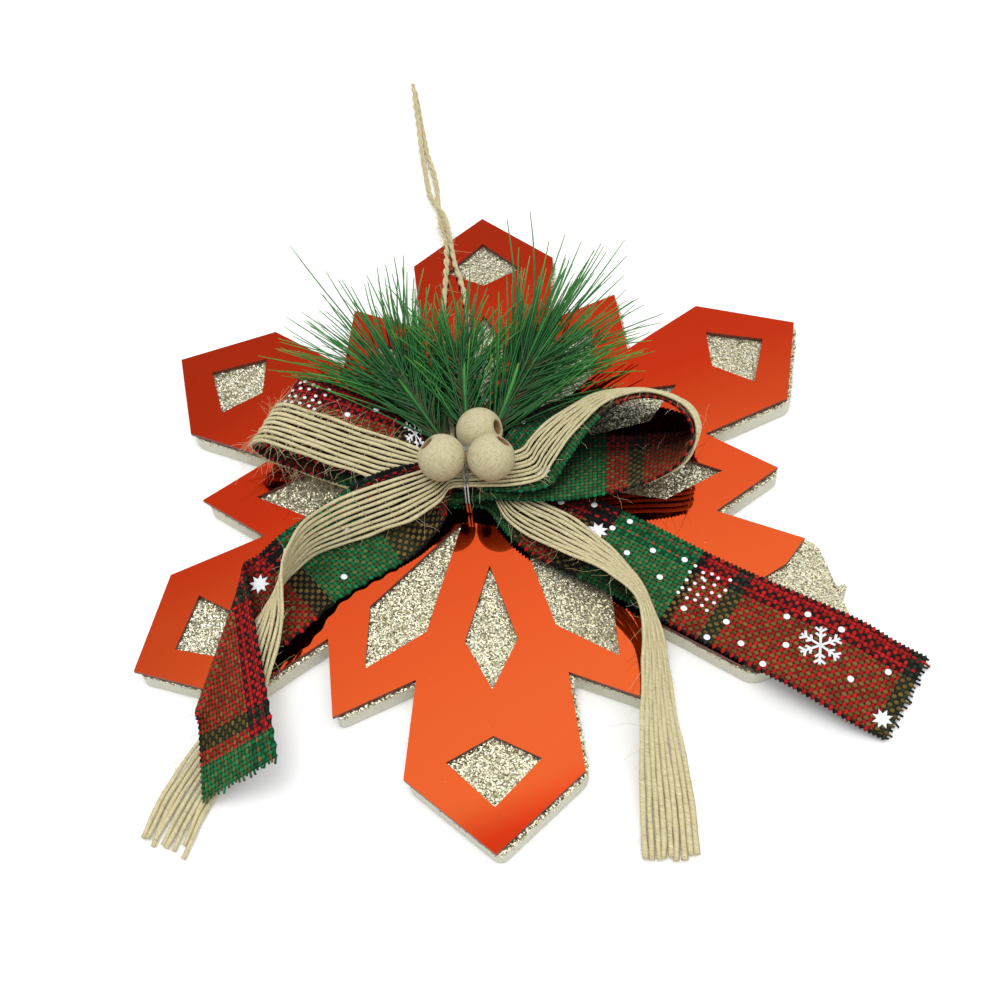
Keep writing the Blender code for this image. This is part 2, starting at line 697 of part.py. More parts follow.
def build_glue_dab(material):
    """Turn the clear glue that fills the space between the bow and the three beads."""
    x = BOW_X + GLUE_PLACE[0]
    y = BOW_Y + GLUE_PLACE[1]
    base = tie_corners()[2][1] + WIRE_DIAMETER + 3 * GAP
    top = bead_level()
    bm = bmesh.new()
    rings = []
    for share in GLUE_SHARES:
        z = base + (top - base) * share
        radius = min(GLUE_RADIUS, glue_room(x, y, z) - 2 * GAP)
        spots = [polar(radius, 360 * k / GLUE_SIDES) for k in range(GLUE_SIDES)]
        rings.append([bm.verts.new((x + dx, y + dy, z)) for dx, dy in spots])
    for low, high in zip(rings, rings[1:]):
        for k in range(GLUE_SIDES):
            bm.faces.new((low[k], low[(k + 1) % GLUE_SIDES], high[(k + 1) % GLUE_SIDES], high[k]))
    bm.faces.new(reversed(rings[0]))
    bm.faces.new(rings[-1])
    return add_object("glue_dab", bm, material, 40)


def build_bead(name, material):
    """Turn one round wooden bead with flat ends and a bore through it."""
    half = BEAD_LENGTH / 2
    radius = BEAD_DIAMETER / 2
    bore = BEAD_BORE / 2
    end_angle = math.asin(half / radius)
    angles = [end_angle * (2 * i / BEAD_ARC_STEPS - 1) for i in range(BEAD_ARC_STEPS + 1)]
    outer = [(radius * math.cos(angle), radius * math.sin(angle)) for angle in angles]
    profile = [(bore, -half)] + outer + [(bore, half)]
    bm = bmesh.new()
    rings = [[bm.verts.new((*polar(r, 360 * k / BEAD_SIDES), z)) for k in range(BEAD_SIDES)] for r, z in profile]
    for low, high in zip(rings, rings[1:] + rings[:1]):
        for k in range(BEAD_SIDES):
            turn = (k + 1) % BEAD_SIDES
            bm.faces.new((low[k], low[turn], high[turn], high[k]))
    axis = Vector(direction(*BEADS[name][1]))
    bmesh.ops.rotate(bm, cent=(0, 0, 0), matrix=axis.to_track_quat("Z", "Y").to_matrix(), verts=bm.verts)
    bmesh.ops.translate(bm, vec=bead_centre(name), verts=bm.verts)
    return add_object(name, bm, material, 40)


def build_sprig(name, material):
    """Make a pine stem whose side faces are drawn out into coarse needles."""
    place, yaw, tilt, spread = SPRIGS[name]
    bm = bmesh.new()
    axis = Vector(direction(yaw, tilt))
    spin = axis.to_track_quat("Z", "X").to_matrix()
    over_twine = FACE_TOP + 2 * GAP + TWINE_DIAMETER + STEM_DIAMETER / 2 + SPRIG_ROOM
    start = Vector((BOW_X, BOW_Y, over_twine)) + Vector(place)
    rings = []
    for i in range(STEM_RINGS):
        share = i / (STEM_RINGS - 1)
        radius = STEM_DIAMETER / 2 * (1.0 - STEM_TAPER * share)
        middle = start + axis * STEM_LENGTH * share
        spots = [Vector((*polar(radius, 360 * k / STEM_SIDES), 0.0)) for k in range(STEM_SIDES)]
        rings.append([bm.verts.new(middle + spin @ spot) for spot in spots])
    needle_roots = []
    for row, (low, high) in enumerate(zip(rings, rings[1:])):
        for k in range(STEM_SIDES):
            face = bm.faces.new((low[k], low[(k + 1) % STEM_SIDES], high[(k + 1) % STEM_SIDES], high[k]))
            if row >= BARE_ROWS:
                needle_roots.append(face)
    bm.faces.new(reversed(rings[0]))
    tip_face = bm.faces.new(rings[-1])
    bm.normal_update()
    for face in needle_roots:
        if face.normal.z > UNDERSIDE:
            draw_needle(bm, face, axis, spread)
    draw_needle(bm, tip_face, axis, 0.0)
    return add_object(name, bm, material)


def draw_needle(bm, face, axis, spread):
    """Draw one face out to a long pointed needle that leans away from the stem by a share."""
    normal = face.normal.copy()
    flat = Vector((normal.x, normal.y, max(normal.z, 0.0) * NEEDLE_RISE))
    heading = (axis + flat * spread).normalized()
    centre = face.calc_center_median()
    new_face = bmesh.ops.extrude_discrete_faces(bm, faces=[face])["faces"][0]
    longest = max((vert.co - centre).length for vert in new_face.verts)
    side = heading.cross(Vector((0.0, 0.0, 1.0))).normalized()
    rise = side.cross(heading).normalized()
    for vert in new_face.verts:
        offset = (vert.co - centre) / longest
        flat_offset = side * offset.dot(side) + rise * offset.dot(rise)
        vert.co = centre + heading * NEEDLE_LENGTH + flat_offset * NEEDLE_WIDTH / 4


def twine_points():
    """Return the hanging twine's route: out from the bow, a bight behind the snowflake, and back."""
    on_face = FACE_TOP + GAP + TWINE_DIAMETER / 2
    low = TWINE_DIAMETER / 2 + TABLE_CLEARANCE
    high = low + TWINE_DIAMETER + GAP
    return [
        (-8.2, 7.6, on_face + 0.6), (-8.9, 14.0, on_face), (-10.2, 30.0, on_face), (-11.6, 50.0, on_face),
        (-12.4, 66.0, on_face), (-12.2, 80.0, on_face), (-12.4, 89.0, on_face), (-13.0, 95.5, on_face * 0.75),
        (-13.6, 101.5, low + 1.6), (-13.9, 107.0, low + 0.1), (-14.2, 114.0, low), (-14.5, 123.0, low),
        (-15.8, 132.0, low), (-17.3, 142.6, low), (-18.8, 152.2, low), (-20.4, 161.8, low),
        (-21.5, 168.1, low + 0.4), (-22.2, 171.4, low + 3.0), (-21.7, 168.6, low + 5.8),
        (-20.8, 162.3, low + 5.4), (-19.5, 152.2, low + 3.4),
        (-19.1, 142.6, low + 1.0), (-18.4, 132.0, low), (-17.3, 123.0, low), (-16.2, 117.0, low + 0.5),
        (-14.2, 111.5, high + 0.2), (-11.9, 106.0, low + 1.4), (-10.9, 101.0, low + 2.6),
        (-10.0, 95.5, on_face * 0.92), (-8.9, 90.0, on_face + 0.1), (-7.4, 82.0, on_face),
        (-5.4, 66.0, on_face), (-4.6, 48.0, on_face),
        (-4.2, 30.0, on_face), (-3.6, 14.0, on_face), (-3.4, 7.6, on_face + 0.6),
    ]


def twine_route():
    """Return the twine's smooth route with points a few diameters apart."""
    rows = [(x * SPREAD, y * SPREAD, z, TWINE_STEP) for x, y, z in twine_points()]
    return smooth_route(rows)[:, :3]


def build_ornament():
    """Build every piece of the ornament under one empty."""
    foam = make_material("glitter_foam", (0.62, 0.58, 0.46), 0.6)
    acrylic = make_material("mirror_acrylic", (0.85, 0.09, 0.02), 0.03, metallic=1.0)
    plaid = make_material("plaid_burlap", (0.3, 0.07, 0.05), 0.9)
    jute = make_material("jute", (0.62, 0.5, 0.3), 0.9)
    wood = make_material("bead_wood", (0.75, 0.66, 0.48), 0.55)
    silver = make_material("silver_wire", (0.8, 0.8, 0.8), 0.25, metallic=1.0)
    glue = make_material("clear_glue", (0.95, 0.95, 0.92), 0.15, transmission=1.0)
    pine = make_material("pine_needles", (0.04, 0.2, 0.07), 0.5)
    pieces = [
        build_foam_base(foam),
        build_acrylic_face(acrylic),
        build_ribbon("plaid_ribbon", FoldedRibbon(plaid_route()), PLAID_THICK, plaid),
        build_ribbon("jute_ribbon", Ribbon(jute_route()), JUTE_THICK, jute),
        build_tie_wire(silver),
        build_glue_dab(glue),
        build_tube("hanging_twine", twine_route(), TWINE_DIAMETER, jute),
    ]
    pieces += [build_bead(name, wood) for name in BEADS]
    pieces += [build_sprig(name, pine) for name in SPRIGS]
    root = bpy.data.objects.new("snowflake_ornament", None)
    bpy.context.scene.collection.objects.link(root)
    for piece in pieces:
        piece.parent = root


if __name__ == "__main__":
    clear_objects()
    build_ornament()
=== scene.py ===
"""Acrylic snowflake ornament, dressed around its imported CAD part.

A red mirror acrylic snowflake on a glittered foam base carries a bow of plaid and jute ribbon, three
wooden beads, three pine sprigs and a twine hanging loop. Lengths are in millimetres until they reach a mesh.
"""

from __future__ import annotations

import logging
import math
from dataclasses import dataclass, field
from enum import Enum
from typing import Any, Sequence

import bmesh
import bpy
import numpy as np
from mathutils import Matrix, Vector

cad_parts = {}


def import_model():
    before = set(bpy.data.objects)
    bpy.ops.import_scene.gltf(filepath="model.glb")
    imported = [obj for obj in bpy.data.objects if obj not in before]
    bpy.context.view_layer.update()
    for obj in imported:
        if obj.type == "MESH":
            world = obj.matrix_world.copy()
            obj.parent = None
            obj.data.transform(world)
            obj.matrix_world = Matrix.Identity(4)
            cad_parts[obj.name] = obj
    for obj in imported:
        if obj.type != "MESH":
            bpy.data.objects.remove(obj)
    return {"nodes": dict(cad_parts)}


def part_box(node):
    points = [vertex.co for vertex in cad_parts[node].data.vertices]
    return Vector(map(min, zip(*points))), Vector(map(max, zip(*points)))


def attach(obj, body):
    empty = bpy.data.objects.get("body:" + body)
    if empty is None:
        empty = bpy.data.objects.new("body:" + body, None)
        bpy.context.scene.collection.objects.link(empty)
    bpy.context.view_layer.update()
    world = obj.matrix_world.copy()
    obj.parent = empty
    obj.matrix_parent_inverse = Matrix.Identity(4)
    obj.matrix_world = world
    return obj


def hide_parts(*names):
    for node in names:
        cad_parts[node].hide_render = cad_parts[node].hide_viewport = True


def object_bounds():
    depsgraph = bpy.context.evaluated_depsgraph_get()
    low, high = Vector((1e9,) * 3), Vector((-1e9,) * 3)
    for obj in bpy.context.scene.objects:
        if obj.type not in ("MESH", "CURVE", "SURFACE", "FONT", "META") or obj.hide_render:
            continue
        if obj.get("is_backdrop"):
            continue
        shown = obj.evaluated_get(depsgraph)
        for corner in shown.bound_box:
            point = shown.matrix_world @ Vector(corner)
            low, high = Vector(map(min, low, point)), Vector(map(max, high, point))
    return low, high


Colour = tuple[float, float, float]
Array = np.ndarray
Faces = Sequence[Sequence[int]]
Material = bpy.types.Material
Piece = bpy.types.Object
Socket = bpy.types.NodeSocket

LOG = logging.getLogger("ornament")
MM = 0.001
UP = np.array([0.0, 0.0, 1.0])
FACE_TOP = 6.0
GAP = 0.3
PLAID_WIDTH = 25.0
PLAID_THICK = 0.8
JUTE_WIDTH = 12.7
JUTE_THICK = 1.0
LOOSE_SHARE = 1.12
LAYER = (PLAID_THICK + JUTE_THICK) / 2 + GAP
BOW = np.array([-5.0, -2.5, FACE_TOP])
PINCH_WIDTH = 5.6
TOP_PINCH_WIDTH = 8.0
TIE_REACH = 4.0
TIE_FLARE = 0.15
FOLD_MIDDLE = np.array([-61.0, -40.5])
FOLD_HEADING = 219.0
FOLD_RADIUS = 2.2
FOLD_ANGLE = 38.5
LEFT_END = np.array([-57.2, -80.9, 9.8])
LEFT_END_YAW, LEFT_END_TILT = 8.8, 35.6
TABLE_X = 70.0
TABLE_Y = (-60.0, 100.0)
FIBRE_RADIUS = 0.048


# Shared measures


def unit(vectors: Array) -> Array:
    """Return vectors at length one."""
    return vectors / np.maximum(np.linalg.norm(vectors, axis=-1, keepdims=True), 1e-9)


def direction(yaw: float, tilt: float = 0.0) -> Array:
    """Return a unit vector from its bearing in plan and its rise, in degrees."""
    heading, rise = math.radians(yaw), math.radians(tilt)
    return np.array([math.cos(rise) * math.cos(heading), math.cos(rise) * math.sin(heading), math.sin(rise)])


def distances(places: Array) -> Array:
    """Return how far along a line each of its places lies."""
    return np.concatenate([[0.0], np.cumsum(np.linalg.norm(np.diff(places, axis=0), axis=1))])


def read_rows(distance: Array, along: Array, rows: Array) -> Array:
    """Return the rows' numbers at distances along their line."""
    return np.stack([np.interp(distance, along, column) for column in rows.T], axis=-1)


def pairs(first: Array, second: Array) -> Array:
    """Return pairs of numbers, such as UVs, from two arrays that fit each other."""
    return np.stack(np.broadcast_arrays(first, second), axis=-1)


def circle(sides: int) -> tuple[Array, Array]:
    """Return the cosines and sines of even steps round a circle."""
    angle = np.arange(sides) / sides * 2 * np.pi
    return np.cos(angle), np.sin(angle)


def ring(sides: int, across: Array, up: Array) -> Array:
    """Return even steps round the circle that two directions span, or one circle for each pair of them."""
    cosines, sines = circle(sides)
    return cosines[:, None] * across[..., None, :] + sines[:, None] * up[..., None, :]


def smooth_route(rows: Sequence[Sequence[float]] | Array, samples: int = 14) -> Array:
    """Return rows along a centripetal Catmull-Rom curve.

    Args:
        rows: Given rows of numbers whose first three are a place.
        samples: How many rows to make between two of them.

    Returns:
        The denser rows, the first and last ones as given.
    """
    given = np.asarray(rows, dtype=float)
    given = np.vstack([2 * given[0] - given[1], given, 2 * given[-1] - given[-2]])
    dense = []
    for i in range(1, len(given) - 2):
        a, b, c, d = given[i - 1:i + 3]
        gaps = np.sqrt(np.linalg.norm(np.diff(given[i - 1:i + 3, :3], axis=0), axis=1))
        k = np.concatenate([[0.0], np.cumsum(gaps)])
        t = (k[1] + (k[2] - k[1]) * np.arange(samples) / samples)[:, None]
        ab = (a * (k[1] - t) + b * (t - k[0])) / (k[1] - k[0])
        bc = (b * (k[2] - t) + c * (t - k[1])) / (k[2] - k[1])
        cd = (c * (k[3] - t) + d * (t - k[2])) / (k[3] - k[2])
        abc = (ab * (k[2] - t) + bc * (t - k[0])) / (k[2] - k[0])
        bcd = (bc * (k[3] - t) + cd * (t - k[1])) / (k[3] - k[1])
        dense.append((abc * (k[2] - t) + bcd * (t - k[1])) / (k[2] - k[1]))
    return np.vstack([*dense, given[-2:-1]])


# Materials


class Nodes:
    """A tree of shader nodes that is built up one node at a time."""

    def __init__(self, tree: bpy.types.NodeTree) -> None:
        """Start from the tree as it stands."""
        self.tree = tree

    def add(self, kind: str, inputs: dict[Any, Any] | None = None, **settings: Any) -> bpy.types.Node:
        """Add one node.

        Args:
            kind: The node's type name without "ShaderNode".
            inputs: Values or sockets for its inputs, by name or number.
            **settings: The node's own settings.

        Returns:
            The new node.
        """
        node = self.tree.nodes.new("ShaderNode" + kind)
        for key, value in settings.items():
            setattr(node, key, value)
        for key, value in (inputs or {}).items():
            self.feed(node.inputs[key], value)
        return node

    def feed(self, socket: Socket, value: Any) -> None:
        """Give an input a socket to read, or a plain value."""
        if isinstance(value, Socket):
            self.tree.links.new(value, socket)
        elif socket.type == "RGBA":
            socket.default_value = (*value, 1.0)
        else:
            socket.default_value = value

    def math(self, operation: str, *values: Any) -> Socket:
        """Return the result of a Math node."""
        return self.add("Math", dict(enumerate(values)), operation=operation).outputs[0]

    def times(self, first: Any, second: Any) -> Socket:
        """Return a product."""
        return self.math("MULTIPLY", first, second)

    def line(self, value: Any, slope: Any, start: Any) -> Socket:
        """Return a value times a slope, plus a start."""
        return self.math("MULTIPLY_ADD", value, slope, start)

    def span(self, value: Any, low: float, high: float, first: float, last: float) -> Socket:
        """Return a number that goes from the first to the last while the value goes from low to high."""
        return self.add("MapRange", {0: value, 1: low, 2: high, 3: first, 4: last}).outputs[0]

    def split(self, vector: Any) -> Sequence[Socket]:
        """Return a vector's three parts."""
        return tuple(self.add("SeparateXYZ", {0: vector}).outputs)

    def ramp(self, factor: Any, stops: Sequence[tuple[float, Colour]], steps: bool = False) -> Socket:
        """Return a colour ramp's colour.

        Args:
            factor: What it reads.
            stops: Places from 0 to 1 and their colours.
            steps: Whether the colours change in steps.

        Returns:
            The colour socket.
        """
        node = self.add("ValToRGB", {"Fac": factor})
        band = node.color_ramp
        band.interpolation = "CONSTANT" if steps else "LINEAR"
        while len(band.elements) < len(stops):
            band.elements.new(1.0)
        for element, (position, colour) in zip(band.elements, stops):
            element.position = position
            element.color = (*colour, 1.0)
        return node.outputs[0]


class Shader(Nodes):
    """A node material, which starts from a Principled BSDF alone."""

    def __init__(self, name: str) -> None:
        """Make the material."""
        self.material = bpy.data.materials.new(name)
        self.material.use_nodes = True
        super().__init__(self.material.node_tree)

    def finish(self, **inputs: Any) -> Material:
        """Feed the Principled BSDF, underscores in a name standing for spaces, and return the material."""
        surface = self.tree.nodes["Principled BSDF"]
        for name, value in inputs.items():
            self.feed(surface.inputs[name.replace("_", " ")], value)
        return self.material

    def vector(self, operation: str, *values: Any) -> Socket:
        """Return the vector that a Vector Math node makes."""
        return self.add("VectorMath", dict(enumerate(values)), operation=operation).outputs[0]

    def mix(self, factor: Any, first: Any, second: Any, blend: str = "MIX") -> Socket:
        """Return two colours mixed."""
        node = self.add("Mix", data_type="RGBA", blend_type=blend)
        for number, value in ((0, factor), (6, first), (7, second)):
            self.feed(node.inputs[number], value)
        return node.outputs[2]

    def place(self) -> Socket:
        """Return the Object coordinates."""
        return self.add("TexCoord").outputs["Object"]

    def own_uv(self) -> Socket:
        """Return the piece's own UV coordinates."""
        return self.add("UVMap", uv_map="UVMap").outputs[0]

    def scaled(self, vector: Any, scale: tuple[float, float, float]) -> Socket:
        """Return coordinates stretched along their axes."""
        return self.add("Mapping", {"Vector": vector, "Scale": scale}).outputs[0]

    def noise(self, vector: Any, scale: float, detail: float = 2.0, roughness: float = 0.5) -> Socket:
        """Return the value of a noise texture."""
        inputs = {"Vector": vector, "Scale": scale, "Detail": detail, "Roughness": roughness}
        return self.add("TexNoise", inputs).outputs[0]

    def bump(self, height: Any, strength: float, distance: float) -> Socket:
        """Return a normal raised by a height in shares of a distance in metres."""
        return self.add("Bump", {"Height": height, "Strength": strength, "Distance": distance}).outputs[0]


@dataclass(frozen=True)
class GrainyFinish:
    """A plain finish whose colour, and if asked its roughness and relief, follow one noise."""

    name: str
    grain: tuple[float, ...]
    stops: tuple[tuple[float, Colour], ...]
    rough: tuple[float, ...] = ()
    relief: tuple[float, ...] = ()
    stretch: tuple[float, ...] = ()
    even: tuple[tuple[str, float], ...] = ()

    def material(self) -> Material:
        """Return the node material."""
        s = Shader(self.name)
        place = s.scaled(s.place(), self.stretch) if self.stretch else s.place()
        grain = s.noise(place, *self.grain)
        inputs: dict[str, Any] = dict(self.even)
        if self.rough:
            inputs["Roughness"] = s.line(grain, *self.rough)
        if self.relief:
            inputs["Normal"] = s.bump(grain, *self.relief)
        return s.finish(Base_Color=s.ramp(grain, self.stops), **inputs)


WHITE_PRINT = GrainyFinish(
    "white_print", (2600.0, 2.0, 0.7), ((0.3, (0.62, 0.66, 0.70)), (0.6, (0.90, 0.92, 0.94))),
    (0.3, 0.35), (0.5, 0.0001),
)
SILVER_WIRE = GrainyFinish(
    "silver_wire", (1800.0, 3.0, 0.6), ((0.0, (0.86, 0.86, 0.86)), (1.0, (0.55, 0.55, 0.57))),
    (0.3, 0.12), (0.3, 0.00008), (1.0, 1.0, 3.0), (("Metallic", 1.0),),
)
CLEAR_GLUE = GrainyFinish(
    "clear_glue", (420.0, 3.0, 0.6), ((0.0, (0.93, 0.93, 0.90)), (1.0, (0.80, 0.79, 0.73))),
    (0.25, 0.06), (0.4, 0.0003), even=(("Transmission_Weight", 0.8), ("IOR", 1.49)),
)
GLITTER_CRUMB = GrainyFinish(
    "glitter_crumb", (1400.0, 0.0),
    ((0.35, (0.40, 0.32, 0.18)), (0.5, (0.75, 0.68, 0.50)), (0.62, (1.0, 0.97, 0.88))),
    even=(("Metallic", 0.6), ("Roughness", 0.25)),
)
STUDIO_FLOOR = GrainyFinish(
    "studio_floor", (3.0, 1.0), ((0.0, (0.97, 0.97, 0.97)), (1.0, (0.96, 0.96, 0.96))),
    even=(("Roughness", 0.9),),
)


@dataclass(frozen=True)
class MirrorAcrylic:
    """Red laser-cut mirror acrylic; painted reflection turns it orange to the front, painted shade darkens
    its edges.
    """

    # Painted reflection: a dim red where the mirror reflects less light, a brighter orange-red where it
    # reflects more.
    deep: Colour = (0.503, 0.031, 0.0066)
    painted_bright_reflection: Colour = (0.503, 0.076, 0.0175)
    # Painted shade: dark reds for the cut edges, standing in for the shade on them.
    edge: Colour = (0.07, 0.008, 0.006)
    edge_shade_streak: Colour = (0.22, 0.03, 0.015)
    dusty: Colour = (0.9, 0.5, 0.35)
    front_slope: float = -5.3
    right_slope: float = 2.2

    def material(self) -> Material:
        """Return the node material."""
        s = Shader("mirror_acrylic")
        place = s.place()
        x, y, _ = s.split(place)
        facing = s.split(s.add("NewGeometry").outputs["Normal"])[2]
        side = s.math("LESS_THAN", s.math("ABSOLUTE", facing), 0.5)
        dust = s.math("GREATER_THAN", s.noise(place, 900.0, 2.0, 0.7), 0.77)
        # Painted reflection: the red brightens to orange towards the front and right, then dims again at the
        # front tip.
        painted_reflection_ramp = s.line(y, self.front_slope, s.line(x, self.right_slope, 0.44))
        middle = tuple(a + 0.45 * (b - a) for a, b in zip(self.deep, self.painted_bright_reflection))
        tone = s.ramp(painted_reflection_ramp, [
            (0.18, self.deep), (0.36, self.deep), (0.46, middle), (0.78, self.painted_bright_reflection),
            (0.90, self.painted_bright_reflection), (0.95, self.deep),
        ])
        colour = s.mix(s.times(dust, 0.25), tone, self.dusty)
        streak = s.noise(s.scaled(place, (1.0, 1.0, 0.15)), 2600.0, 1.0)
        return s.finish(
            # Painted shade: the side faces take the dark edge reds, streaked, in place of the mirror colour.
            Base_Color=s.mix(side, colour, s.mix(streak, self.edge, self.edge_shade_streak)),
            Metallic=s.line(side, -0.9, 1.0),
            Roughness=s.math("ADD", s.times(dust, 0.2), s.line(side, 0.4, 0.025)),
            Normal=s.bump(s.noise(place, 22.0, 1.0), 0.12, 0.0004),
        )


@dataclass(frozen=True)
class GlitterFoam:
    """Craft foam whose upper side is covered with champagne glitter."""

    foam: Colour = (0.70, 0.68, 0.56)
    grain: float = 3100.0
    glitter_line: float = 0.0058

    def material(self) -> Material:
        """Return the node material."""
        s = Shader("glitter_foam")
        place = s.place()
        normal = s.add("NewGeometry").outputs["Normal"]
        top = s.math("GREATER_THAN", s.split(normal)[2], 0.5)
        chance = s.add("TexVoronoi", {"Vector": place, "Scale": self.grain}).outputs["Color"]
        flake = s.ramp(s.add("SeparateColor", {0: chance}).outputs[0], [
            (0.0, (0.13, 0.10, 0.045)), (0.14, (0.28, 0.24, 0.135)), (0.38, (0.39, 0.36, 0.225)),
            (0.68, (0.54, 0.515, 0.37)), (0.90, (0.82, 0.81, 0.66)),
        ])
        ragged = s.math("ADD", s.split(place)[2], s.times(s.noise(place, 700.0), 0.0028))
        pores = s.noise(place, 1900.0, 3.0, 0.7)
        cut = s.mix(pores, self.foam, tuple(0.72 * c for c in self.foam))
        cut = s.mix(s.math("GREATER_THAN", ragged, self.glitter_line), cut, flake)
        tilt = s.vector("MULTIPLY_ADD", chance, (0.9, 0.9, 0.9), (-0.45, -0.45, -0.25))
        tilted = s.vector("NORMALIZE", s.vector("ADD", normal, tilt))
        return s.finish(
            Base_Color=s.mix(top, cut, flake),
            Metallic=s.times(top, 0.75),
            Roughness=s.line(top, -0.55, 0.85),
            Normal=s.mix(top, s.bump(pores, 0.5, 0.0002), tilted),
        )


@dataclass(frozen=True)
class PlaidWeave:
    """Coarse plaid burlap: olive, black and red lengthwise threads, and crosswise ones in bands."""

    threads: int
    pitch: float
    olive: Colour = (0.135, 0.088, 0.022)
    black: Colour = (0.007, 0.006, 0.006)
    red: Colour = (0.36, 0.010, 0.009)
    green: Colour = (0.005, 0.145, 0.045)
    band: Colour = (0.016, 0.026, 0.014)
    length: float = 500.0
    last_green: float = 481.5
    crown: tuple[float, float] = (3.6, 1.3)
    occlusion_shade_distance: float = 0.025

    def bands(self) -> list[tuple[float, Colour]]:
        """Return where the crosswise threads change colour, in millimetres from the right tail's end."""
        band, red, green, black = self.band, self.red, self.green, self.black
        return [
            (0.0, band), (3.2, red), (44.4, band), (48.0, red), (55.0, black), (58.2, green),
            (81.0, black), (88.5, red), (99.0, band), (102.0, green), (154.0, band), (157.5, red),
            (212.0, black), (226.0, band), (229.0, green), (276.2, red), (282.8, band), (287.0, red),
            (330.0, band), (334.0, green), (372.0, black), (378.0, red), (386.0, black), (396.0, band),
            (400.5, green), (422.9, black), (429.0, red), (441.0, band), (446.0, red), (473.0, band),
            (477.0, red), (480.5, band),
        ]

    def material(self) -> Material:
        """Return the node material, which reads the cloth's UVs in threads and paints shade into its hollows
        and enclosed places.
        """
        s = Shader("plaid_burlap")
        uv = s.own_uv()
        u, v, _ = s.split(uv)
        row, column = s.math("FLOOR", u), s.math("FLOOR", v)
        lengthwise = s.math("FLOORED_MODULO", s.math("ADD", row, column), 2.0)
        du, dv = (s.math("SUBTRACT", s.math("FRACT", part), 0.5) for part in (u, v))
        du, dv = s.times(du, du), s.times(dv, dv)
        steep, shallow = self.crown
        over = s.math("ADD", s.times(dv, steep), s.times(du, shallow))
        under = s.math("ADD", s.times(du, steep), s.times(dv, shallow))
        drop = s.add("Mix", {0: lengthwise, 2: under, 3: over}, data_type="FLOAT").outputs[0]
        height = s.math("SUBTRACT", 1.0, drop)
        warp = s.ramp(s.math("DIVIDE", v, float(self.threads)), [
            (0.0, self.black), (0.035, self.olive), (0.70, self.black), (0.77, self.red),
            (0.81, self.black), (0.89, self.red), (0.93, self.black),
        ], steps=True)
        along = s.times(u, self.pitch / self.length)
        weft = s.ramp(along, [(place / self.length, colour) for place, colour in self.bands()], steps=True)
        weft = s.mix(s.math("GREATER_THAN", along, self.last_green / self.length), weft, self.green)
        greenness = s.add("SeparateColor", {0: weft}).outputs[1]
        warp = s.mix(s.times(greenness, 3.0), warp, weft)
        cell = s.add("CombineXYZ", {0: row, 1: column}).outputs[0]
        chance = s.add("TexWhiteNoise", {"Vector": cell}, noise_dimensions="2D").outputs[0]
        fibre = s.noise(s.scaled(uv, (7.0, 7.0, 1.0)), 1.0, 2.0, 0.6)
        # Painted shade: ambient occlusion darkens the cloth where other pieces close round it, inside the
        # loops and under the jute.
        painted_occlusion_shade = s.add("AmbientOcclusion", {"Distance": self.occlusion_shade_distance}, samples=4).outputs["AO"]
        tone = s.line(chance, 0.75, 0.65)
        tone = s.times(tone, s.line(fibre, 0.7, 0.65))
        # Painted shade: the gaps between threads are darkened, as shade in the weave's hollows.
        tone = s.times(tone, s.span(height, 0.0, 0.62, 0.10, 1.0))
        tone = s.times(tone, s.span(painted_occlusion_shade, 0.2, 0.85, 0.13, 1.0))
        return s.finish(
            Base_Color=s.mix(1.0, s.mix(lengthwise, weft, warp), tone, "MULTIPLY"),
            Roughness=0.9,
            Normal=s.bump(s.line(fibre, 0.12, height), 0.9, 0.00045),
            Specular_IOR_Level=0.18,
        )


@dataclass(frozen=True)
class JuteYarn:
    """Natural jute: twisted pale fibres. UVs are turns round the yarn and millimetres along it."""

    name: str = "jute"
    pale: Colour = (0.77, 0.69, 0.44)
    mid: Colour = (0.54, 0.47, 0.255)
    deep: Colour = (0.22, 0.165, 0.065)
    twist: float = 0.55
    strands: int = 3

    def material(self) -> Material:
        """Return the node material."""
        s = Shader(self.name)
        turns, along, _ = s.split(s.own_uv())
        lay = s.line(along, self.twist, turns)
        relief = s.math("SINE", s.times(lay, 6.2832 * self.strands))
        hair_lay = s.add("CombineXYZ", {0: s.times(lay, 9.0), 1: s.times(along, 0.35)}).outputs[0]
        hair = s.noise(hair_lay, 1.6, 3.0, 0.65)
        colour = s.ramp(hair, [(0.25, self.deep), (0.46, self.mid), (0.66, self.pale)])
        patch = s.noise(s.place(), 90.0, 2.0)
        return s.finish(
            Base_Color=s.mix(s.times(patch, 0.35), colour, self.pale),
            Roughness=0.8,
            Normal=s.bump(s.line(relief, 0.22, hair), 0.8, 0.00022),
            Specular_IOR_Level=0.25,
        )


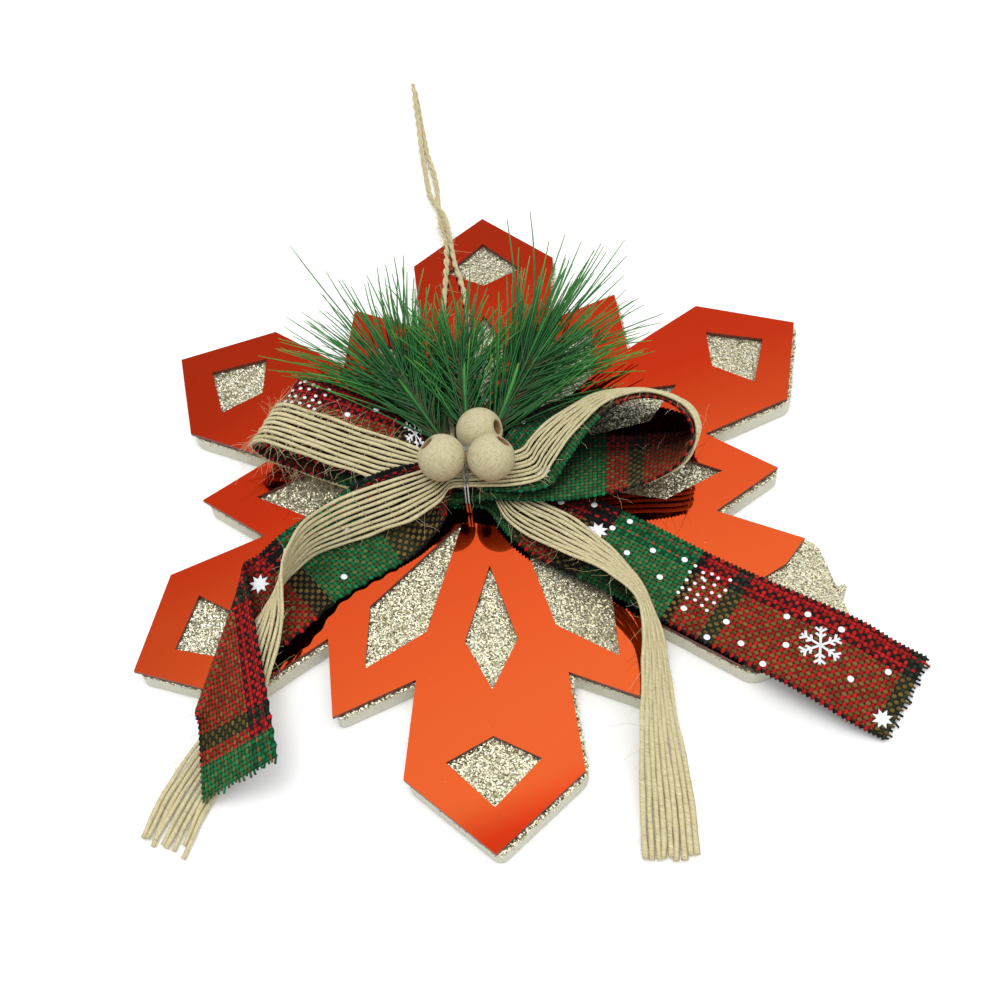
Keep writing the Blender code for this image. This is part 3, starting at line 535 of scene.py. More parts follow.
@dataclass(frozen=True)
class BareWood:
    """Sanded unfinished wood, with a rough brown bore."""

    name: str
    centre: tuple[float, float, float]
    axis: tuple[float, float, float]
    bore: tuple[float, float] = (0.0017, 0.0022)

    def material(self) -> Material:
        """Return the node material, turned to the bead's own grain."""
        s = Shader(self.name)
        turn = tuple(Vector(self.axis).to_track_quat("Z", "Y").inverted().to_euler())
        moved = s.vector("SUBTRACT", s.place(), self.centre)
        own = s.add("Mapping", {"Vector": moved, "Rotation": turn}).outputs[0]
        grain = s.noise(s.scaled(own, (1.0, 1.0, 0.12)), 3200.0, 3.0, 0.65)
        rings = s.noise(s.scaled(own, (1.0, 0.3, 0.16)), 480.0, 2.0, 0.5)
        colour = s.ramp(grain, [
            (0.30, (0.29, 0.24, 0.12)), (0.48, (0.455, 0.41, 0.25)), (0.72, (0.55, 0.51, 0.345)),
        ])
        colour = s.mix(s.times(rings, 0.35), colour, (0.58, 0.50, 0.30))
        flat = s.vector("MULTIPLY", own, (1.0, 1.0, 0.0))
        reach = s.add("VectorMath", {0: flat}, operation="LENGTH").outputs["Value"]
        torn = s.mix(s.noise(own, 1500.0, 3.0, 0.7), (0.05, 0.022, 0.008), (0.34, 0.20, 0.08))
        return s.finish(
            Base_Color=s.mix(s.span(reach, *self.bore, 1.0, 0.0), colour, torn),
            Roughness=s.line(grain, 0.3, 0.5),
            Normal=s.bump(grain, 0.35, 0.00012),
            Specular_IOR_Level=0.35,
        )


@dataclass(frozen=True)
class PineNeedle:
    """Soft plastic pine needles, brown at the root and lighter at the tip. UVs are chance and share along."""

    def material(self) -> Material:
        """Return the node material."""
        s = Shader("pine_needles")
        chance, share, _ = s.split(s.own_uv())
        colour = s.ramp(s.line(chance, 0.3, s.line(share, 0.85, -0.12)), [
            (0.0, (0.06, 0.045, 0.012)), (0.12, (0.006, 0.060, 0.012)), (0.5, (0.011, 0.122, 0.018)),
            (0.85, (0.050, 0.24, 0.032)), (1.0, (0.18, 0.30, 0.05)),
        ])
        streak = s.noise(s.place(), 420.0, 2.0)
        return s.finish(
            Base_Color=s.mix(1.0, colour, s.line(streak, 0.7, 0.65), "MULTIPLY"),
            Roughness=0.42,
            Normal=s.bump(streak, 0.2, 0.0001),
            Specular_IOR_Level=0.3,
        )


# Modelling steps


class Bench:
    """Modelling steps that the pieces share."""

    @staticmethod
    def clear() -> None:
        """Leave nothing selected."""
        if bpy.context.object and bpy.context.object.mode != "OBJECT":
            bpy.ops.object.mode_set(mode="OBJECT")
        bpy.ops.object.select_all(action="DESELECT")

    @staticmethod
    def start(primitive: Any, **settings: Any) -> None:
        """Add a primitive at the origin and enter edit mode with all of its vertices selected."""
        Bench.clear()
        primitive(location=(0, 0, 0), **settings)
        bpy.ops.object.mode_set(mode="EDIT")
        bpy.ops.mesh.select_mode(type="VERT")
        bpy.ops.mesh.select_all(action="SELECT")

    @staticmethod
    def pick(test: Any, kind: str = "VERT") -> None:
        """Select the vertices that pass a test, and the edges and faces between them."""
        bpy.ops.mesh.select_mode(type="VERT")
        bpy.ops.mesh.select_all(action="DESELECT")
        mesh = bmesh.from_edit_mesh(bpy.context.object.data)
        for vertex in mesh.verts:
            vertex.select = bool(test(vertex.co))
        mesh.select_flush(True)
        bmesh.update_edit_mesh(bpy.context.object.data)
        bpy.ops.mesh.select_mode(type=kind)

    @staticmethod
    def done(name: str) -> Piece:
        """Leave edit mode and name the piece."""
        if bpy.context.object.mode != "OBJECT":
            bpy.ops.object.mode_set(mode="OBJECT")
        bpy.context.object.name = name
        bpy.context.object.data.name = name
        return bpy.context.object

    @staticmethod
    def modify(piece: Piece, kind: str, **settings: Any) -> None:
        """Add a modifier and apply it."""
        Bench.clear()
        piece.select_set(True)
        bpy.context.view_layer.objects.active = piece
        modifier = piece.modifiers.new(kind.lower(), kind)
        for key, value in settings.items():
            setattr(modifier, key, value)
        bpy.ops.object.modifier_apply(modifier=modifier.name)

    @staticmethod
    def template(name: str) -> tuple[Array, Faces]:
        """Take a modelled shape off the bench as places and faces, to be copied."""
        piece = Bench.done(name)
        places = np.array([tuple(v.co) for v in piece.data.vertices])
        faces = [tuple(p.vertices) for p in piece.data.polygons]
        bpy.data.objects.remove(piece)
        return places, faces

    @staticmethod
    def outward(piece: Piece) -> None:
        """Turn all faces outwards."""
        mesh = bmesh.new()
        mesh.from_mesh(piece.data)
        bmesh.ops.recalc_face_normals(mesh, faces=mesh.faces)
        mesh.to_mesh(piece.data)
        mesh.free()


@dataclass
class Heap:
    """Many small shapes gathered into one mesh."""

    places: list[Array] = field(default_factory=list)
    faces: list[tuple[int, ...]] = field(default_factory=list)
    uvs: list[Array] = field(default_factory=list)
    count: int = 0

    def add(self, places: Array, faces: Faces, uvs: Array | Sequence[float] = (0.0, 0.0)) -> None:
        """Add one shape, with a UV pair for each of its vertices or one for all."""
        self.faces += [tuple(i + self.count for i in face) for face in faces]
        self.places.append(places)
        self.uvs.append(np.broadcast_to(uvs, (len(places), 2)))
        self.count += len(places)

    def tube(self, rings: Array, uvs: Array | Sequence[float]) -> None:
        """Add a capped tube.

        Args:
            rings: Its vertices, by ring, place in the ring and coordinate.
            uvs: A UV pair for each of them, or one for all.
        """
        count, sides = rings.shape[:2]
        last = (count - 1) * sides
        faces: list[tuple[int, ...]] = []
        for i in range(0, last, sides):
            for k in range(sides):
                a, b = i + k, i + (k + 1) % sides
                faces.append((a, b, b + sides, a + sides))
        faces += [tuple(reversed(range(sides))), tuple(range(last, last + sides))]
        self.add(rings.reshape(-1, 3), faces, np.broadcast_to(uvs, (count, sides, 2)).reshape(-1, 2))

    def piece(self, name: str, outward: bool = True) -> Piece:
        """Make the gathered shapes one smooth object.

        Args:
            name: The piece's name.
            outward: Whether its faces still have to be turned outwards.

        Returns:
            The new object, at the origin.
        """
        mesh = bpy.data.meshes.new(name)
        mesh.from_pydata((np.vstack(self.places) * MM).tolist(), [], self.faces)
        layer = mesh.uv_layers.new(name="UVMap")
        corners = np.zeros(len(mesh.loops), dtype=np.int32)
        mesh.loops.foreach_get("vertex_index", corners)
        layer.data.foreach_set("uv", np.vstack(self.uvs).astype(np.float32)[corners].ravel())
        mesh.shade_smooth()
        piece = bpy.data.objects.new(name, mesh)
        bpy.context.scene.collection.objects.link(piece)
        if outward:
            Bench.outward(piece)
        return piece


def settle(piece: Piece, material: Material, slot: str, *nodes: str) -> Piece:
    """Dress a new piece and let it ride.

    Args:
        piece: The piece.
        material: Its material.
        slot: The name of a material slot in the record; not used.
        *nodes: The CAD nodes that it stands for.

    Returns:
        The piece.
    """
    dress(piece, material)
    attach(piece, "root")
    if nodes:
        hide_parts(*nodes)
    LOG.info("%s: %d faces", piece.name, len(piece.data.polygons))
    return piece


def dress(piece: Piece, material: Material) -> None:
    """Give a piece one material alone."""
    piece.data.materials.clear()
    piece.data.materials.append(material)


# The ribbons' runs


class Strip:
    """A flat ribbon's run, read by distance along it and share of its width."""

    def __init__(self, stations: Sequence[Array], samples: int = 14) -> None:
        """Lay the run through its stations: place, across direction and width."""
        self.rows = smooth_route(stations, samples)
        self.along = distances(self.rows[:, :3])

    @property
    def length(self) -> float:
        """Return the run's length."""
        return float(self.along[-1])

    def row(self, distance: Array) -> Array:
        """Return the run's numbers at distances along it."""
        return read_rows(distance, self.along, self.rows)

    def spot(self, distance: Array, share: Array, offset: Array | float) -> Array:
        """Return places on or over the ribbon.

        Args:
            distance: Distances along it.
            share: Shares of its width, from -0.5 to 0.5.
            offset: Offsets out of its upper side.

        Returns:
            The places in millimetres.
        """
        distance, share, offset = np.broadcast_arrays(distance, share, offset)
        row = self.row(distance)
        across = unit(row[..., 3:6])
        tangent = self.row(distance + 0.5)[..., :3] - self.row(distance - 0.5)[..., :3]
        outward = unit(np.cross(tangent, across))
        return row[..., :3] + across * (row[..., 6] * share)[..., None] + outward * offset[..., None]

    def skewed(self, distance: Array, share: Array) -> Array:
        """Return how far along the spots of a crosswise row lie."""
        return np.broadcast_arrays(distance, share)[0]


class FoldedStrip(Strip):
    """A run whose last tail turns over a slanting fold line and lies back over itself."""

    def __init__(self, stations: Sequence[Array]) -> None:
        """Lay the fold line across the run where it passes the fold's middle."""
        super().__init__(stations)
        angle = math.radians(FOLD_ANGLE)
        gaps = np.linalg.norm(self.rows[:, :2] - FOLD_MIDDLE, axis=1)
        self.middle = float(self.along[int(np.argmin(gaps))])
        self.slant = PLAID_WIDTH / math.tan(angle)
        ends = self.line(np.array([-0.5, 0.5]))
        self.axis = unit(ends[0] - ends[1])
        self.outward = unit(np.cross(self.axis, UP))
        self.turn = math.pi * FOLD_RADIUS / math.sin(angle)
        self.drift = self.turn * math.cos(angle)

    def line(self, share: Array) -> Array:
        """Return points of the fold line."""
        return super().spot(self.middle - self.slant * share, share, 0.0)

    def skewed(self, distance: Array, share: Array) -> Array:
        """Return how far along the spots of a row lie: near the fold the rows run along the fold line."""
        half = self.slant / 2
        near = 1.0 + (distance - self.middle + half) / (1.6 * half)
        left = (self.length - distance) / (self.length - self.middle - self.turn)
        return distance - np.clip(near, 0.0, 1.0) * np.minimum(left, 1.0) * self.slant * share

    def spot(self, distance: Array, share: Array, offset: Array | float) -> Array:
        """Return places before the fold, on its turn, or on the strip that lies over it."""
        distance, share, offset = np.broadcast_arrays(distance, share, offset)
        flat = super().spot(distance, share, offset)
        past = distance - self.middle + self.slant * share
        start = self.line(share)
        angle = np.pi * np.clip(past / self.turn, 0.0, 1.0)
        reach = FOLD_RADIUS + offset
        turned = start + self.outward * (reach * np.sin(angle))[..., None]
        turned = turned + UP * (FOLD_RADIUS - reach * np.cos(angle))[..., None]
        turned = turned + self.axis * (self.drift * past / self.turn)[..., None]
        across = direction(LEFT_END_YAW, LEFT_END_TILT)
        base = start + self.axis * self.drift + UP * 2 * FOLD_RADIUS
        end = LEFT_END + across * (PLAID_WIDTH * share)[..., None]
        ratio = ((past - self.turn) / (self.length - self.middle + self.slant * share - self.turn))[..., None]
        normal = unit(np.cross(across, end - base))
        normal = normal * np.sign(normal[..., 2:3])
        ease = np.clip(ratio * 4.0, 0.0, 1.0)
        over = base + (end - base) * ratio + unit(UP * (1.0 - ease) + normal * ease) * offset[..., None]
        over = np.where((past <= self.turn)[..., None], turned, over)
        return np.where((past <= 0.0)[..., None], flat, over)


class BowRuns:
    """The stations of the two ribbons: tail, loop, loop and tail, tied three times in the middle."""

    @staticmethod
    def station(centre: Array, across: Array, width: float) -> Array:
        """Return one station."""
        return np.concatenate([centre, across, [width]])

    @staticmethod
    def rim(x: float, y: float, front: float, yaw: float, back: float, share: float = 1.0) -> Array:
        """Return a plaid station from its front edge; heights are layers above the face."""
        width = PLAID_WIDTH * share
        across = direction(yaw, math.degrees(math.asin((back - front) * LAYER / width)))
        edge = np.array([x, y, FACE_TOP + front * LAYER])
        return BowRuns.station(edge + across * width / 2, across, width)

    @staticmethod
    def middle(
        width: float, x: float, y: float, lift: float, rest: float, yaw: float, tilt: float = 0.0,
    ) -> Array:
        """Return a station from its centre; it rests on the face at 1 and on the table at 0."""
        return BowRuns.station(np.array([x, y, FACE_TOP * rest + lift * LAYER]), direction(yaw, tilt), width)

    @staticmethod
    def tie(start: int, offset: float, lifts: Sequence[float], width: float = PINCH_WIDTH) -> list[Array]:
        """Return a gathered pass through the tie, from its right side (1) or its left one (-1)."""
        stations = []
        for side, lift in zip((start, 0, -start), lifts):
            centre = BOW + np.array([side * TIE_REACH, offset, lift * LAYER])
            stations.append(BowRuns.station(centre, direction(90.0), width * (1.0 + TIE_FLARE * abs(side))))
        return stations

    @staticmethod
    def side_ply(stations: list[Array], share: float, shift: float, outward: float) -> list[Array]:
        """Return the stations of a jute ply that lies against a plaid run, moved across and outward."""
        run = smooth_route(stations, 2)
        across = unit(run[:, 3:6])
        centres = run[:, :3] + across * shift
        centres = centres + unit(np.cross(np.gradient(centres, axis=0), across)) * outward
        return [BowRuns.station(place, way, JUTE_WIDTH * share) for place, way in zip(centres, across)]

    @classmethod
    def left_loop(cls) -> list[Array]:
        """Return the left loop, from its lower pass round to its upper one."""
        return [cls.rim(*row) for row in (
            (-28.0, -3.2, 2.7, 68, 2.7, 0.92), (-40.0, 0.6, 3.2, 66, 3.2), (-50.0, 4.8, 3.9, 66, 3.9),
            (-57.0, 7.9, 4.6, 66, 4.6), (-60.6, 9.4, 7.0, 66, 7.0), (-57.4, 8.0, 9.4, 66, 9.4),
            (-50.0, 5.1, 8.9, 66, 8.9), (-40.0, 1.6, 7.1, 66, 7.1), (-28.0, -0.9, 4.7, 68, 4.7, 0.92),
        )]

    @classmethod
    def right_loop(cls) -> list[Array]:
        """Return the right loop, which leans open to the front."""
        return [cls.rim(*row) for row in (
            (22.0, -11.1, 5.2, 88, 2.5, 0.94), (34.1, -9.9, 6.0, 84, 1.3, 0.92),
            (42.3, -8.2, 7.3, 81, 1.2, 0.88), (47.7, -6.1, 9.2, 77, 1.2, 0.85),
            (50.7, -3.7, 11.3, 77, 1.3, 0.85), (52.0, -1.5, 13.7, 77, 1.4, 0.9),
            (51.7, 0.9, 15.7, 76, 1.6, 0.95), (49.7, 4.1, 17.0, 76, 1.8), (46.1, 7.2, 17.5, 80, 2.0),
            (41.0, 9.0, 17.2, 85, 2.0), (34.0, 9.0, 15.3, 97, 1.8), (27.3, 4.8, 12.3, 109, 1.9),
            (21.1, -2.4, 9.5, 119, 3.2), (15.2, -9.0, 7.7, 114, 5.8, 0.9),
        )]

    @classmethod
    def plaid(cls) -> list[Array]:
        """Return the plaid ribbon's stations, from its right end to its left one."""
        low, wide = -(PINCH_WIDTH / 2 + 2 * GAP), PLAID_WIDTH
        right_tail = [cls.middle(wide * share, *row) for share, *row in (
            (1, 96.1, -65.0, 0.9, 0.0, 56), (1, 88.5, -61.6, 1.1, 0.45, 56), (1, 82.0, -57.6, 1.2, 0.8, 56),
            (0.97, 74.8, -53.3, 1.2, 1.0, 56), (0.95, 65.7, -47.5, 1.2, 1.0, 56),
            (0.92, 49.4, -36.8, 1.3, 1.0, 56), (0.92, 33.4, -25.3, 1.3, 1.0, 56),
            (0.9, 17.4, -14.9, 1.3, 1.0, 56), (0.74, 10.7, -11.2, 1.3, 1.0, 59),
            (0.5, 5.0, -8.7, 1.3, 1.0, 68),
        )]
        left_tail = [cls.rim(*row) for row in (
            (-10.6, -12.4, 2.6, 116, 7.4, 0.66), (-17.6, -20.6, 0.8, 122, 7.7, 0.94),
            (-27.8, -27.2, 0.6, 128, 3.6), (-37.2, -33.6, 0.8, 129.5, 2.3),
        )]
        left_tail.append(cls.middle(wide, -52.8, -33.4, 2.7, 1.0, 129.5))
        for distance, lift in ((0.0, 2.7), (17.0, 2.4), (43.0, 2.4)):
            place = FOLD_MIDDLE + direction(FOLD_HEADING)[:2] * distance
            left_tail.append(cls.middle(wide, place[0], place[1], lift, 1.0, FOLD_HEADING - 90.0))
        return [
            *right_tail,
            *cls.tie(1, low, (1.35, 1.5, 2.4)),
            *cls.left_loop(),
            *cls.tie(-1, low, (3.5, 3.6, 4.65)),
            *cls.right_loop(),
            *cls.tie(1, 0.0, (5.8, 5.5, 5.8), TOP_PINCH_WIDTH),
            *left_tail,
        ]

    @classmethod
    def jute(cls) -> list[Array]:
        """Return the jute ribbon's stations, which lie on the outer side of the plaid ones."""
        high, wide = PINCH_WIDTH / 2 + 2 * GAP, JUTE_WIDTH
        beside = (JUTE_WIDTH * LOOSE_SHARE - PLAID_WIDTH) / 2
        right_tail = [cls.middle(wide * share, *row) for share, *row in (
            (1, 38.1, -101.6, 0.8, 0.0, 2), (1, 38.4, -90.8, 1.5, 0.0, 6, -8.0),
            (1, 38.3, -80.8, 3.2, 0.0, 13, -22.0), (1, 38.1, -71.7, 3.7, 0.3, 19, -37.0),
            (1, 38.1, -63.7, 3.9, 0.7, 28, -45.0), (1, 38.3, -57.1, 4.4, 1.0, 35, -49.0),
            (1, 38.1, -51.0, 5.7, 1.0, 45, -52.0), (1, 37.4, -44.6, 6.4, 1.0, 62, -53.0),
            (1, 35.6, -38.9, 6.1, 1.0, 70, -47.0), (1, 31.6, -32.3, 5.7, 1.0, 70, -38.0),
            (1, 25.0, -25.3, 4.7, 1.0, 64, -25.0), (1, 16.6, -17.8, 3.4, 1.0, 54, -9.0),
            (0.8, 7.5, -10.4, 2.6, 1.0, 58),
        )]
        left_tail = [cls.middle(wide * share, *row) for share, *row in (
            (0.84, -14.0, -6.6, 7.7, 1.0, 114, 12.0), (1, -22.5, -10.6, 7.6, 1.0, 121, 25.0),
            (1, -31.0, -13.2, 6.9, 1.0, 128, 36.0), (1, -38.0, -16.6, 7.2, 1.0, 138, 56.0),
            (0.95, -44.4, -20.8, 7.6, 1.0, 143, 77.0), (0.9, -48.3, -26.8, 7.8, 1.0, 150, 92.0),
            (0.9, -50.6, -33.2, 8.0, 1.0, 168, 108.0), (0.92, -52.0, -38.0, 7.5, 1.0, 180, 126.0),
            (0.96, -53.4, -42.4, 6.2, 1.0, 183, 147.0), (0.9, -55.8, -49.6, 4.7, 1.0, 172, 172.0),
            (0.84, -57.2, -57.6, 4.5, 1.0, 162, 179.0), (0.86, -59.9, -65.6, 3.2, 0.6, 157, 180.0),
            (1, -66.9, -73.8, 1.2, 0.1, 158, 180.0), (1, -72.1, -82.8, 0.8, 0.0, 158, 180.0),
            (1, -76.0, -94.0, 0.7, 0.0, 159, 180.0),
        )]
        return [
            *right_tail,
            *cls.tie(1, high, (2.4, 1.5, 1.4)),
            *cls.side_ply(cls.left_loop(), LOOSE_SHARE, beside, LAYER),
            *cls.tie(-1, high, (4.6, 3.6, 3.6)),
            *cls.side_ply(cls.right_loop(), 1.0, (JUTE_WIDTH - PLAID_WIDTH) / 4, -LAYER),
            *cls.tie(1, 0.0, (6.9, 6.5, 6.9), TOP_PINCH_WIDTH),
            *left_tail,
        ]


# The pieces


@dataclass
class Snowflake:
    """The acrylic face and the foam base, which keep their CAD shapes, and the glitter on the foam's edge."""

    face: MirrorAcrylic = MirrorAcrylic()
    foam: GlitterFoam = GlitterFoam()
    crumb_size: float = 0.42
    crumbs_per_mm: float = 1.6
    reach: float = 0.25
    depth: float = 0.45

    def build(self, nodes: dict[str, Piece]) -> None:
        """Dress the CAD nodes and scatter the crumbs."""
        dress(nodes["acrylic_face"], self.face.material())
        dress(nodes["foam_base"], self.foam.material())
        settle(self.crumbs(nodes["foam_base"].data), GLITTER_CRUMB.material(), "glitter_foam")

    def crumbs(self, foam: bpy.types.Mesh) -> Piece:
        """Scatter glitter along the upper edges of the foam's sides."""
        rng = np.random.default_rng(5)
        Bench.start(bpy.ops.mesh.primitive_ico_sphere_add, subdivisions=1, radius=0.5)
        bpy.ops.transform.resize(value=(1.0, 0.8, 0.35))
        shape, faces = Bench.template("crumb")
        heap = Heap()
        top = max(v.co.z for v in foam.vertices)
        for polygon in foam.polygons:
            corners = [foam.vertices[i].co for i in polygon.vertices]
            high = [np.array(corner) / MM for corner in corners if corner.z > top - 1e-5]
            if abs(polygon.normal.z) > 0.3 or len(high) != 2:
                continue
            start, edge, out = high[0], high[1] - high[0], np.array(polygon.normal)
            for _ in range(rng.poisson(self.crumbs_per_mm * np.linalg.norm(edge))):
                place = start + edge * rng.random() + out * (rng.random() * self.reach)
                place[2] -= abs(rng.normal(0.0, self.depth))
                turn = Matrix.Rotation(rng.random() * 6.3, 3, Vector(rng.normal(size=3)).normalized())
                size = self.crumb_size * (0.6 + 0.7 * rng.random())
                heap.add(shape @ np.array(turn).T * size + place, faces)
        return heap.piece("glitter_crumbs", outward=False)


class PrintShape(Enum):
    """The shapes printed on the plaid ribbon."""

    DOT = "dot"
    STAR = "star"
    FLAKE = "flake"


@dataclass
class PlaidRibbon:
    """The wired plaid burlap ribbon with its frayed ends and its white print."""

    threads: int = 21
    pitch: float = 1.15
    relief: float = 0.13
    selvedge: float = 0.3
    edge_half: float = 0.1
    pleats: float = 3.0
    pleat_height: float = 0.4
    fringe_radius: float = 0.3
    flake_bars: tuple[tuple[float, float, float], ...] = (
        (0.0, 0.92, 0.0), (0.42, 0.26, 52.0), (0.42, 0.26, -52.0), (0.68, 0.30, 52.0), (0.68, 0.30, -52.0),
    )
    strip: FoldedStrip = field(default_factory=lambda: FoldedStrip(BowRuns.plaid()))

    def build(self) -> None:
        weave = PlaidWeave(self.threads, self.pitch).material()
        cloth = settle(self.cloth(), weave, "plaid_burlap", "plaid_ribbon")
        fringe = settle(self.fringe(), weave, "plaid_burlap")
        print_piece = settle(self.print_marks(), WHITE_PRINT.material(), "plaid_burlap")

    def cloth(self) -> Piece:
        """Weave the cloth: each crossing of threads stands out and each gap between them sinks in."""
        strip = self.strip
        rows = int(strip.length / self.pitch * 2) + 1
        share = np.linspace(-0.5, 0.5, 2 * self.threads + 1)[None, :]
        run = strip.skewed(np.linspace(0.0, strip.length, rows)[:, None], share)
        u, v = run / self.pitch, (share + 0.5) * self.threads
        swell = -(np.cos(2 * np.pi * u) + np.cos(2 * np.pi * v)) / 2 * self.relief
        edge = np.abs(share) > 0.499
        width = strip.row(run)[..., 6]
        out = np.where(edge, -np.cos(2 * np.pi * u) * self.selvedge, 0.0) * np.sign(share)
        out = out / np.maximum(width, 1.0)
        gather = np.clip(1.0 - width / PLAID_WIDTH, 0.0, 1.0)
        pleat = self.pleat_height * gather * np.sin(2 * np.pi * self.pleats * share)
        half = np.where(edge, self.edge_half, PLAID_THICK / 2 - self.relief)
        upper = strip.spot(run, share + out, half + swell + pleat)
        under = strip.spot(run, share + out, -half - swell + pleat)
        uv = pairs(u, v)
        heap = Heap()
        heap.tube(np.hstack([upper, under[:, ::-1]]), np.hstack([uv, uv[:, ::-1]]))
        return heap.piece("plaid_cloth")

    def fringe(self) -> Piece:
        """Model the short thread ends that stand out of both cut ends."""
        rng = np.random.default_rng(11)
        heap = Heap()
        for end, sign in ((0.0, -1.0), (self.strip.length, 1.0)):
            for thread in range(self.threads):
                share = (thread + 0.5) / self.threads - 0.5
                steps = np.linspace(-0.6, 0.5 + 1.1 * rng.random(), 4)[:, None, None]
                drift = rng.normal(0.0, 0.25)
                here, inner, beside = self.strip.spot(
                    np.array([end, end - sign, end]), np.array([share, share, share + 0.02]), 0.0,
                )
                ahead, across = unit(here - inner), unit(beside - here)
                middle = here + ahead * steps + across * drift * np.maximum(steps, 0.0)
                rings = middle + self.fringe_radius * ring(5, across, np.cross(ahead, across))
                heap.tube(rings, (end / self.pitch + sign * -0.6, thread + 0.5))
        return heap.piece("plaid_fringe")

    def shape(self, kind: PrintShape) -> tuple[Array, Faces]:
        """Model one printed shape of radius one on the bench."""
        if kind is PrintShape.FLAKE:
            return self.flake()
        count = 16 if kind is PrintShape.STAR else 12
        Bench.start(bpy.ops.mesh.primitive_circle_add, vertices=count, radius=1.0, fill_type="NGON")
        if kind is PrintShape.STAR:
            spots = {round(math.degrees(math.atan2(v.co.y, v.co.x)) / 22.5): v.co.copy()
                     for v in bpy.context.object.data.vertices}
            inner = [spots[i] for i in spots if i % 2]
            Bench.pick(lambda co: any((co - spot).length < 0.01 for spot in inner))
            bpy.ops.transform.resize(value=(0.52, 0.52, 1.0), center_override=(0, 0, 0))
            bpy.ops.mesh.select_all(action="SELECT")
        bpy.ops.mesh.extrude_region_move(TRANSFORM_OT_translate={"value": (0, 0, 0.12)})
        bpy.ops.transform.resize(value=(0.9, 0.9, 1.0), center_override=(0, 0, 0))
        return Bench.template("mark")

    def flake(self) -> tuple[Array, Faces]:
        """Model the six-armed printed snowflake, each arm from bars at a reach, with a length and a turn."""
        heap = Heap()
        for yaw in range(8, 368, 60):
            for reach, size, turn in self.flake_bars:
                Bench.start(bpy.ops.mesh.primitive_cube_add, size=1.0)
                bpy.ops.transform.resize(value=(size, 0.11, 0.12))
                bpy.ops.transform.translate(value=(size / 2, 0, 0.06))
                bar, faces = Bench.template("bar")
                spin = np.array(Matrix.Rotation(math.radians(yaw) + math.radians(turn), 3, "Z"))
                heap.add(bar @ spin.T + reach * direction(yaw), faces)
        return np.vstack(heap.places), heap.faces

    def marks(self) -> list[tuple[PrintShape, float, float, float, int]]:
        """Return the printed marks: shape, distance along, share across, radius and side."""
        rng = np.random.default_rng(3)
        dot, star, flake = PrintShape.DOT, PrintShape.STAR, PrintShape.FLAKE
        marks = [
            (flake, 23.2, 0.04, 5.6, -1), (star, 2.9, -0.32, 2.7, -1), (star, 84.4, 0.12, 2.9, -1),
            (star, 435.2, 0.23, 2.9, -1), (flake, 218.4, 0.33, 5.0, 1), (star, 358.0, -0.30, 2.4, -1),
        ]
        marks += [(dot, along, share, 0.85, -1) for along, share in (
            (81.6, 0.23), (89.2, 0.40), (96.8, 0.28), (78.8, 0.40), (69.6, 0.20), (61.6, 0.28), (74.8, 0.03),
            (64.4, -0.05), (55.2, -0.25), (44.8, -0.17), (46.8, -0.43), (39.2, -0.32), (32.4, -0.42),
            (29.2, 0.30), (33.2, 0.18), (20.8, 0.30), (13.6, -0.12), (6.8, 0.15), (30.0, -0.12),
            (417.5, -0.32), (409.0, 0.1), (424.0, 0.3), (441.0, -0.1), (347.0, 0.1), (366.0, 0.42),
            (352.0, 0.4),
        )]
        for i in range(5):
            for j in range(5):
                first, second = rng.normal(0.0, 0.3, 2)
                along, share = 2.2 * i, 0.095 * j
                marks.append((dot, 49.6 + along + first, -0.12 + share + second / 25, 0.5, -1))
                marks.append((dot, 182.0 + along + second, 0.02 + share + first / 25, 0.5, 1))
        marks += [(dot, u, v, 0.8, 1) for u, v in ((205.0, 0.35), (199.0, 0.18), (176.0, 0.3), (213.0, 0.44))]
        return marks

    def print_marks(self) -> Piece:
        """Lay the printed marks on the cloth."""
        shapes = {kind: self.shape(kind) for kind in PrintShape}
        heap = Heap()
        for kind, along, share, radius, side in self.marks():
            places, faces = shapes[kind]
            x, y, z = places.T
            offset = side * (PLAID_THICK / 2 + z * 0.8)
            heap.add(self.strip.spot(along + x * radius, share + y * radius / PLAID_WIDTH, offset), faces)
        return heap.piece("plaid_print")


